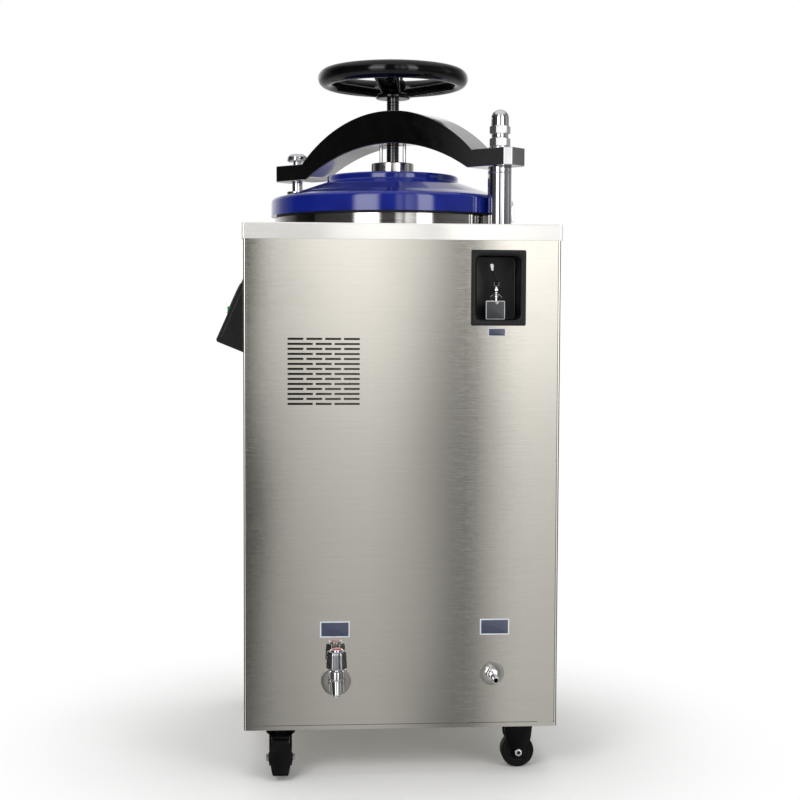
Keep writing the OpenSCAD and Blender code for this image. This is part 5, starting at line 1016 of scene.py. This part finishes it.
class RecessOperator(bpy.types.Operator):
    """Make the recess with the safety valve, its lever and its blank tag"""

    bl_idname = "autoclave.recess"
    bl_label = "Valve Recess"

    def execute(self, context):
        self.box()
        self.valve()
        self.lever()
        self.tag()
        return {"FINISHED"}

    def box(self):
        """Recess: a folded surface from the hole in the back wall over the walls, the bevelled inner edge
        and the frame's face, and back round the outside to the hole."""
        rim, mouth, wall = oblong(89, 121.5, 3, 8), oblong(71, 103.5, 9, 8), oblong(75, 107.5, 11, 8)
        middle = np.array([-1.0, -34.8])
        way = mouth() - middle
        hole = middle + 7.3 * way / np.linalg.norm(way, axis=1)[:, None]
        f = np.linspace(0, math.pi / 2, 5)
        rows = [(hole, -50.0)]
        rows += [(mouth(2.5 * (1 - math.sin(a))), -50 + 2.5 * (1 - math.cos(a))) for a in f]
        rows += [(mouth(), 0.9), (mouth(-2.6), 2.85), (mouth(-3.4), 3.0)]
        rows += [(rim(1.2 * (1 - math.cos(a))), 1.8 + 1.2 * math.sin(a)) for a in f[::-1]]
        rows += [(rim(), 0.0), (wall(), 0.0), (wall(), -52.0), (hole, -52.0)]
        part = stacked(rows, loop=True)
        piece("Recess_Box", "cabinet", [(on_panel(part, 153.5, 792.8), "recess")], 40)

    def valve(self):
        """Safety valve: turned body and nipple, stem with two collars and a ball, and a clevis of two ears
        whose outline is a square under a half circle."""
        at = np.array([152.5, -236.0, 0.0])
        body = lines([(0, 748), (9, 748), (9, 753.5), (8.3, 754), (8.3, 755.2), (9, 755.7), (9, 763),
                      (7.4, 768), (0, 768)], [0, 1, .2, .2, .2, .2, 1.5, .8, 0], 4)
        nipple = lines([(0, 0), (7, 0), (7, 34.9), (4, 34.9), (4, 26), (0, 26)], [0, .2, .5, .3, .3, 0], 3)
        stem = [(0, 767.6), (2.5, 767.6), (2.5, 777.6), (4.2, 778.2), (4.2, 779.6), (2.5, 780.2)]
        stem += dome(3.5, 785.3, -0.75, 0.75, 9)
        stem += [(2.5, 788.5), (6.4, 788.6), (6.4, 791.3), (2.5, 791.5), (2.5, 794.9), (0, 794.9)]
        ear = shape([(-3.2, 794.6), (3.2, 794.6), (3.2, 804.2), (-3.2, 804.2)], [.6, .6, 3.15, 3.15], 8)
        parts = [lathe(body, 64, at), put(lathe(nipple, 48), at + [0, 0, 758], (1, 0, 0), (0, 1, 0)),
                 lathe(stem, 48, at), slab(oblong(9.4, 6.4, .8), 794.6, 797.5, .3, .6)]
        parts[3] = (parts[3][0] + at, *parts[3][1:])
        parts += [put(slab(ear, 2.7, 4.7, .45), at, (0, s, 0), (s, 0, 0)) for s in (1, -1)]
        head = lines([(0, 4.5), (2.1, 4.5), (1.4, 5.2), (0, 5.4)], [0, .2, .5, 0], 3)
        parts += [put(lathe(head, 24), at + [0, 0, 801], (0, s, 0), (s, 0, 0)) for s in (1, -1)]
        looks = ["tap"] * 3 + ["spindle"] * (len(parts) - 3)
        piece("Safety_Valve", "cabinet", [(p, look) for p, look in zip(parts, looks)])

    def lever(self):
        """Pull lever: a rounded section carried along a leaning line, narrow in the middle and widest near
        its top, and an eye turned about the pin."""
        k = np.r_[np.linspace(0, 0.9, 22), np.linspace(0.92, 1, 7)]
        lean = 31 * np.interp(k, [0, .19, .38, .7, .97, 1], [0, 0, -.18, -.21, -.245, -.25])
        lean = np.convolve(np.pad(lean, 2, "edge"), [.1, .2, .4, .2, .1], "valid")
        wide = np.interp(k, [0, .19, .38, .6, .93, 1], [3.2, 3.1, 2.2, 2.4, 6.0, 5.2])
        tip = np.sqrt(np.clip(1 - np.clip((k - 0.93) / 0.07, 0, 1) ** 2, 0.04, 1))
        rows = [np.c_[oblong(w * e, 2.3 * max(e, .5), 1.0 * e, 4)(), np.full(20, 31 * r)] + [x, 0, 0]
                for w, e, r, x in zip(wide, tip, k, lean)]
        eye = collar(1.3, 3.2, -2.5, 2.5, [.2, .5, .5, .2], 4, 40)
        at, grip = (152.5, -236, 801), 15          # pin's place, and the row where the pale grip starts
        piece("Valve_Lever", "valve_pull", [(put(grid(rows[:grip + 1], caps=True), at), "gland"),
                                            (put(grid(rows[grip:], caps=True), at), "lever"),
                                            (put(eye, at, (0, 1, 0), (1, 0, 0)), "gland")])

    def tag(self):
        """Blank tag: a pale plate with a dark field and an eyelet, on a wire ring that leans 45 degrees."""
        south, mid = (0, -1, 0), (149.9, -246.12, 757.1)
        parts = [(put(slab(oblong(31, 30, 1.4), -0.5, 0.5, 0.25), mid, (1, 0, 0), south), "tag_rim"),
                 (put(slab(oblong(28.6, 27.6, 0.8), 0.3, 0.56, 0.1), mid, (1, 0, 0), south), "tag"),
                 (put(ring(1.9, 0.45, 40, 12), (152.5, -246.6, 769.1), (1, 0, 0), south), "tag_rim")]
        slope = (0, -math.sqrt(0.5), math.sqrt(0.5))
        wire_ring = put(ring(9.7, 0.8, 96, 16), (152.5, -239.26, 775.96), (1, 0, 0), slope)
        piece("Valve_Tag", "tag", parts + [(wire_ring, "tap")])


def on_face(part, a, b, n=0.0):
    """Puts a surface on the slanted control face: a to the operator's right, b up the slope, n outwards."""
    lean = FACE_LEAN
    right, up = np.array([0, -1, 0]), np.array([math.sin(lean), 0, math.cos(lean)])
    out = np.array([-math.cos(lean), 0, math.sin(lean)])
    return put(part, np.array([-280.8, 0, 761.4]) + a * right + b * up + n * out, right, out)


def numeral(text, size):
    """Flat numeral from Blender's own plain letters, as a surface of its own faces."""
    letters = bpy.data.curves.new("Numeral", "FONT")
    letters.body, letters.size, letters.extrude = text, size, 0.05
    letters.align_x, letters.align_y, letters.resolution_u = "CENTER", "CENTER", 4
    obj = placed("Numeral", letters)
    bpy.context.view_layer.update()
    mesh = obj.to_mesh()
    points = np.array([v.co[:] for v in mesh.vertices])
    faces = [np.array(f.vertices[:]) for f in mesh.polygons]
    obj.to_mesh_clear()
    bpy.data.objects.remove(obj)
    bpy.data.curves.remove(letters)
    return points, np.zeros((0, 4), int), faces


class ControlsOperator(bpy.types.Operator):
    """Make the control box with its fascia, window, gauge, keys and switch"""

    bl_idname = "autoclave.controls"
    bl_label = "Control Box"

    def execute(self, context):
        eased("Control_Box", "cabinet", "box", 1.2, 3, 40)
        eased("Control_Fascia", "cabinet", "fascia", 0.3)
        eased("Rocker_Switch", "power_rocker", "rocker", 0.5)
        eased("Power_Gland", "cabinet", "gland", 0.5)
        lean = FACE_LEAN
        seams = []
        for side in (1, -1):
            at = on_face((np.zeros((1, 3)), None, None), 100 * side, -2, -6.5)[0][0]
            seams.append((put(slab(oblong(104, 1.8, 0.8), -0.1, 0.35, 0.3), at,
                              (side * math.sin(lean), 0, side * math.cos(lean)), (0, -side, 0)), "box_edge"))
        piece("Box_Seams", "cabinet", seams, node="")
        self.marks()
        self.gauge()
        self.keys()
        return {"FINISHED"}

    def marks(self):
        """Blank window with its bezel, three lamps, and the plain on and off marks by the switch."""
        bezel = slab(oblong(58, 22, 2.5, 6), -0.4, 0.5, 0.5, 0.1)
        pane = slab(oblong(52, 16, 1.2, 6), 0.2, 0.62, 0.15, 0.05)
        parts = [(on_face(bezel, 10, 20), "box"), (on_face(pane, 10, 20), "window")]
        lamp = turned([(0, -0.4), (1.9, -0.4), (1.9, 0.5), (0, 1.1)], [0, .1, .5, 0], 4, 32)
        parts += [(on_face(lamp, a, 1.5), look) for a, look in ((-14, "rocker"), (10, "amber"), (34, "red"))]
        bar = slab(oblong(0.9, 5.0, 0.3), -0.35, -0.2, 0.04)
        loop = ring(2.1, 0.4, 40, 10)
        parts += [(on_face(bar, 74, 9), "keys"), (on_face(loop, 74, -37, -0.45), "keys")]
        piece("Fascia_Marks", "cabinet", parts, node="")

    def gauge(self):
        """Pressure gauge: turned case, white dial with ticks along 270 degrees, numerals, a red band for
        the last fifth, a tapered needle with a cap, and a domed glass."""
        case = lines([(0, -10), (26.7, -10), (26.7, -0.3), (30, -0.3), (30, 7), (27.3, 7), (26.9, 6.2),
                      (26.9, 2.8), (0, 2.8)], [0, 1, .2, .3, 1.4, .6, .3, .2, 0], 5)
        dial = collar(0, 26.8, 2.6, 3.0, [0, .1, .1, 0], 2, 96)
        at, start, sweep = (-58, 14), 225, 270
        parts = [(on_face(lathe(case, 128), *at), "gauge"), (on_face(dial, *at), "dial")]
        for i in range(41):
            angle = math.radians(start - sweep * i / 40)
            long = 3.6 if i % 10 == 0 else 2.6 if i % 5 == 0 else 1.7
            tick = slab(oblong(long, 0.5 if i % 5 == 0 else 0.28, 0.1, 2), 2.98, 3.06, 0.02)
            middle = 23.6 - long / 2
            spot = np.array([math.cos(angle), math.sin(angle), 0])
            parts.append((on_face(put(tick, middle * spot, spot), *at), "red" if i > 32 else "ink"))
        for i in range(5):
            angle = math.radians(start - sweep * i / 4)
            points, quads, faces = numeral(str(i), 4.6)
            points = points + [16.2 * math.cos(angle), 16.2 * math.sin(angle), 3.02]
            parts.append((on_face((points, quads, faces), *at), "ink"))
        t = np.radians(np.linspace(9, -45, 28))
        edge = ((21.6, 2.98), (21.6, 3.04), (19.9, 3.04), (19.9, 2.98))
        band = [[[r * math.cos(a), r * math.sin(a), z] for r, z in edge] for a in t]
        parts.append((on_face(grid(band, caps=True), *at), "red"))
        piece("Gauge_Case", "cabinet", parts)
        eased("Gauge_Needle", "needle", "ink", 0.1, 1)
        cover = [(r, 5.2 + 0.9 * (1 - (r / 26.8) ** 2)) for r in np.linspace(0, 26.8, 10)]
        under = [(r, z - 0.8) for r, z in cover[::-1]]
        pane = on_face(lathe(cover + under, 96), *at)
        piece("Gauge_Glass", "cabinet", [(pane, "glass")], node="")

    def keys(self):
        """Three keys with dished tops, one with a ring and two with arrows."""
        cap = lines([(0, -4), (7, -4), (7, 2.5), (5.2, 2.5), (3.8, 2.15), (0, 2.0)], [0, .3, .9, .5, 1, 0], 5)
        arrow = np.array([(-2.1, -1.4), (2.1, -1.4), (0, 2.0)])
        arrows = [slab(shape(points, 0.25), 1.9, 2.2, 0.05) for points in (arrow, (-arrow))]
        loop = ring(1.9, 0.32, 40, 10, (0, 0, 2.02))
        for name, body, a, mark in (("Key_Set", "set_key", -14, loop), ("Key_Up", "up_key", 10, arrows[0]),
                                    ("Key_Down", "down_key", 34, arrows[1])):
            parts = [(on_face(lathe(cap, 64), a, -12), "keys"), (on_face(mark, a, -12), "ink")]
            piece(name, body, parts)


class CastersOperator(bpy.types.Operator):
    """Make the casters: fixed and swivel forks, tyres on hubs, axles with nuts, and brake pedals"""

    bl_idname = "autoclave.casters"
    bl_label = "Casters"

    def execute(self, context):
        x, y = np.array([1.0, 0, 0]), np.array([0, 1.0, 0])
        mounts = []
        for side in (-1, 1):
            mounts += self.fixed(np.array([CASTER_X, CASTER_Y * side, 0]))
            race = lines([(0, 57), (9, 57), (9, 60), (5, 60), (5, 70.4), (19, 70.4), (19, 74), (24, 74),
                          (24, 77), (0, 77)], [0, 1, .6, .2, .2, 1, .3, .6, .6, 0], 4)
            mounts.append((lathe(race, 96, (-CASTER_X, CASTER_Y * side, 0)), "caster"))
        piece("Caster_Mounts", "cabinet", mounts)
        for label, side, ahead, across in (("Right", -1, y, x), ("Left", 1, x, -y)):
            centre, low = np.array([-CASTER_X, CASTER_Y * side, 0]), label.lower()
            piece("Swivel_Fork_" + label, "swivel_" + low, self.swivel(centre, ahead, across))
            pedal = self.pedal(centre, ahead, across)
            piece("Brake_Pedal_" + label, low + "_brake", pedal, 50)
        for name, along, sideways, axis in (("front_right", -CASTER_X, -CASTER_Y - TRAIL, x),
                                            ("front_left", -CASTER_X - TRAIL, CASTER_Y, y),
                                            ("rear_right", CASTER_X, -CASTER_Y, y),
                                            ("rear_left", CASTER_X, CASTER_Y, y)):
            tyre_and_hub = self.wheel((along, sideways, AXLE_Z), axis)
            piece("Wheel_" + name.title(), name + "_wheel", tyre_and_hub)
        return {"FINISHED"}

    def wheel(self, at, axis):
        """Wheel: a rubber tread with three fine grooves on a hub with a raised boss and rim."""
        tread = [(19.4, -13), (27, -13)]
        for h in (-5, 0, 5):
            tread += [(27, h - .55), (26.3, h - .3), (26.3, h + .3), (27, h + .55)]
        tread += [(27, 13), (19.4, 13)]
        tyre = lathe(lines(tread, [.6, 5] + [.15] * 12 + [5, .6], 7, True), 128)
        hub = turned([(4.05, -12.8), (8.6, -12.8), (9.6, -11), (16.6, -11), (18.2, -12.6), (19.5, -12.6),
                      (19.5, 12.6), (18.2, 12.6), (16.6, 11), (9.6, 11), (8.6, 12.8), (4.05, 12.8)],
                      [.2, .6, 1, 1, .5, .2, .2, .5, 1, 1, .6, .2], 4, 96)
        upright = (0, 0, 1)
        return [(put(tyre, at, upright, axis), "tyre"), (put(hub, at, upright, axis), "gland")]

    def axle(self, at, across):
        """Axle between the cheeks with a washer and a nut at each end and the threaded end in the nut."""
        rod = collar(0, 4, -18.6, 18.6, [0, .2, .2, 0], 2, 40)
        disc = collar(3.5, 8.4, 18.5, 19.4, [.1, .3, .3, .1], 3, 48)
        bolt = nut(11.0, 4.1, 2.9, 72, (0, 0, 19.4))
        end = turned([(0, 19.4), (2.85, 19.4), (2.85, 22.4), (1.4, 22.9), (1.0, 22.3), (0, 22.2)],
                     [0, .1, .5, .3, .3, 0], 3, 32)
        parts = [(put(rod, at, (0, 0, 1), across), "zinc")]
        for s in (1, -1):
            parts += [(put(p, at, (0, 0, 1), s * across), look) for p, look in
                      ((disc, "caster"), (bolt, "zinc"), (end, "caster"))]
        return parts

    def cheeks(self, points, radii, centre, ahead, across):
        """The two cheeks of a fork: one outline in the plane of ahead and up, and its mirror image."""
        near = shape(points, radii, 8)
        far = shape([(-a, b) for a, b in points[::-1]], radii[::-1], 8)
        return [(put(slab(outline, 14.5, 18.5, 0.8), centre, s * ahead, s * across), "caster")
                for s, outline in ((1, near), (-1, far))]

    def fixed(self, centre):
        """Fixed fork: a top plate, two tapered cheeks with a round lower end, and the axle."""
        points = [(-24, 76.6), (-21.1, 50), (-11.7, 27), (-11.5, 15.5), (11.5, 15.5), (11.7, 27), (21.1, 50),
                  (24, 76.6)]
        radii = [2, 12, 9, 11.4, 11.4, 9, 12, 2]
        ahead, across = np.array([1.0, 0, 0]), np.array([0, -1.0, 0])
        parts = self.cheeks(points, radii, centre, ahead, across)
        plate = slab(oblong(48, 37, 2.5), 74, 77, 0.8)
        return parts + [(put(plate, centre), "caster")] + self.axle(centre + [0, 0, AXLE_Z], across)

    def swivel(self, centre, ahead, across):
        """Swivel fork: a ball race housing with a groove, two trailing cheeks, a bridge and the axle."""
        points = [(12, 65.2), (-38.7, 65.2), (-38.7, 57.7), (-36.5, 27), (-36.5, 15.5), (-13.5, 15.5),
                  (-13.5, 27), (12, 60.2)]
        radii = [1.5, 4, 8, 12, 11.4, 11.4, 10, 4]
        parts = self.cheeks(points, radii, centre, ahead, across)
        house = turned([(5.05, 60.2), (21, 60.2), (24, 63), (24, 66.4), (22.9, 66.9), (22.9, 67.7),
                        (24, 68.2), (24, 70.2), (5.05, 70.2)], [.2, 1, 2, .3, .3, .3, .3, .8, .2], 5, 96)
        bridge = slab(oblong(40.8, 37, 1.5), 61.2, 65.2, 0.6)
        parts += [(put(house, centre), "caster"), (put(bridge, centre - 8.4 * ahead, ahead), "caster")]
        return parts + self.axle(centre - TRAIL * ahead + [0, 0, AXLE_Z], across)

    def pedal(self, centre, ahead, across):
        """Brake pedal: a rounded section carried down a curve in front of the wheel, widest at its shoulder,
        with raised ribs across its tread that follow a squared cosine, and a pivot eye with trunnions."""
        run, drop = -32.3, 52.4
        k = np.linspace(0, 1, 72)
        curve = lines([(run * a, -drop * b) for a, b in ((0, 0), (.3, .06), (.62, .34), (.88, .78), (1, 1))],
                      [0, 8, 14, 14, 0], 9)
        far = np.r_[0, np.cumsum(np.linalg.norm(np.diff(curve, axis=0), axis=1))]
        path = np.stack([np.interp(k * far[-1], far, curve[:, i]) for i in (0, 1)], 1)
        run_dir = np.gradient(path, axis=0)
        run_dir /= np.linalg.norm(run_dir, axis=1)[:, None]
        normal = np.stack([run_dir[:, 1], -run_dir[:, 0]], 1)
        half = np.interp(k, [0, .2, .42, .8, .97, 1], [14.2, 14.2, 18.4, 15.4, 13, 11.5])
        thick = np.interp(k, [0, .95, 1], [3.8, 3.8, 2.4])
        rib = np.clip(np.cos(k * 2 * math.pi * 11), 0, 1) ** 2 * ((k > 0.4) & (k < 0.92)) * 0.7
        rows = []
        for i in range(len(k)):
            flat = oblong(2 * half[i], thick[i], 1.1, 5)()
            lift = rib[i] * (flat[:, 1] > 0.5) * (np.abs(flat[:, 0]) < half[i] - 1.6)
            outward = (flat[:, 1] + lift)[:, None] * normal[i]
            spot = path[i] + outward
            rows.append(spot[:, :1] * ahead + flat[:, :1] * across + spot[:, 1:] * np.array([0, 0, 1.0]))
        pin = centre - 33.67 * ahead + [0, 0, 61.45]
        eye = collar(0, 4.5, -14.1, 14.1, [0, .8, .8, 0], 4, 40)
        rod = collar(0, 2.5, -18.4, 18.4, [0, .4, .4, 0], 4, 32)
        points, quads, ends = grid(rows, caps=True)
        return [((points + pin, quads, ends), "caster"), (put(eye, pin, (0, 0, 1), across), "caster"),
                (put(rod, pin, (0, 0, 1), across), "zinc")]


class AutoclavePanel(bpy.types.Panel):
    """Steps that dress the autoclave, and its sizes and colours"""

    bl_idname = "VIEW3D_PT_autoclave"
    bl_label = "Autoclave"
    bl_space_type = "VIEW_3D"
    bl_region_type = "UI"
    bl_category = "Autoclave"

    def draw(self, context):
        column = self.layout.column()
        for operator in OPERATORS:
            column.operator(operator.bl_idname)
        for label in AutoclaveSizes.__annotations__:
            column.prop(context.scene.autoclave_sizes, label)


OPERATORS = (FinishesOperator, StageOperator, CoverOperator, LidOperator, BeamOperator, ColumnsOperator,
             WheelOperator, PlatesOperator, TapOperator, NozzleOperator, RecessOperator, ControlsOperator,
             CastersOperator)
CLASSES = (AutoclaveSizes, *OPERATORS, AutoclavePanel)


def register():
    for cls in CLASSES:
        bpy.utils.register_class(cls)
    bpy.types.Scene.autoclave_sizes = PointerProperty(type=AutoclaveSizes)


def unregister():
    del bpy.types.Scene.autoclave_sizes
    for cls in reversed(CLASSES):
        bpy.utils.unregister_class(cls)


def main():
    """Dresses the whole part."""
    register()
    bpy.ops.autoclave.finishes()
    bpy.ops.autoclave.stage()
    bpy.ops.autoclave.cover()
    bpy.ops.autoclave.lid()
    bpy.ops.autoclave.beam()
    bpy.ops.autoclave.columns()
    bpy.ops.autoclave.wheel()
    bpy.ops.autoclave.plates()
    bpy.ops.autoclave.tap()
    bpy.ops.autoclave.nozzle()
    bpy.ops.autoclave.recess()
    bpy.ops.autoclave.controls()
    bpy.ops.autoclave.casters()


if __name__ == "__main__":
    main()
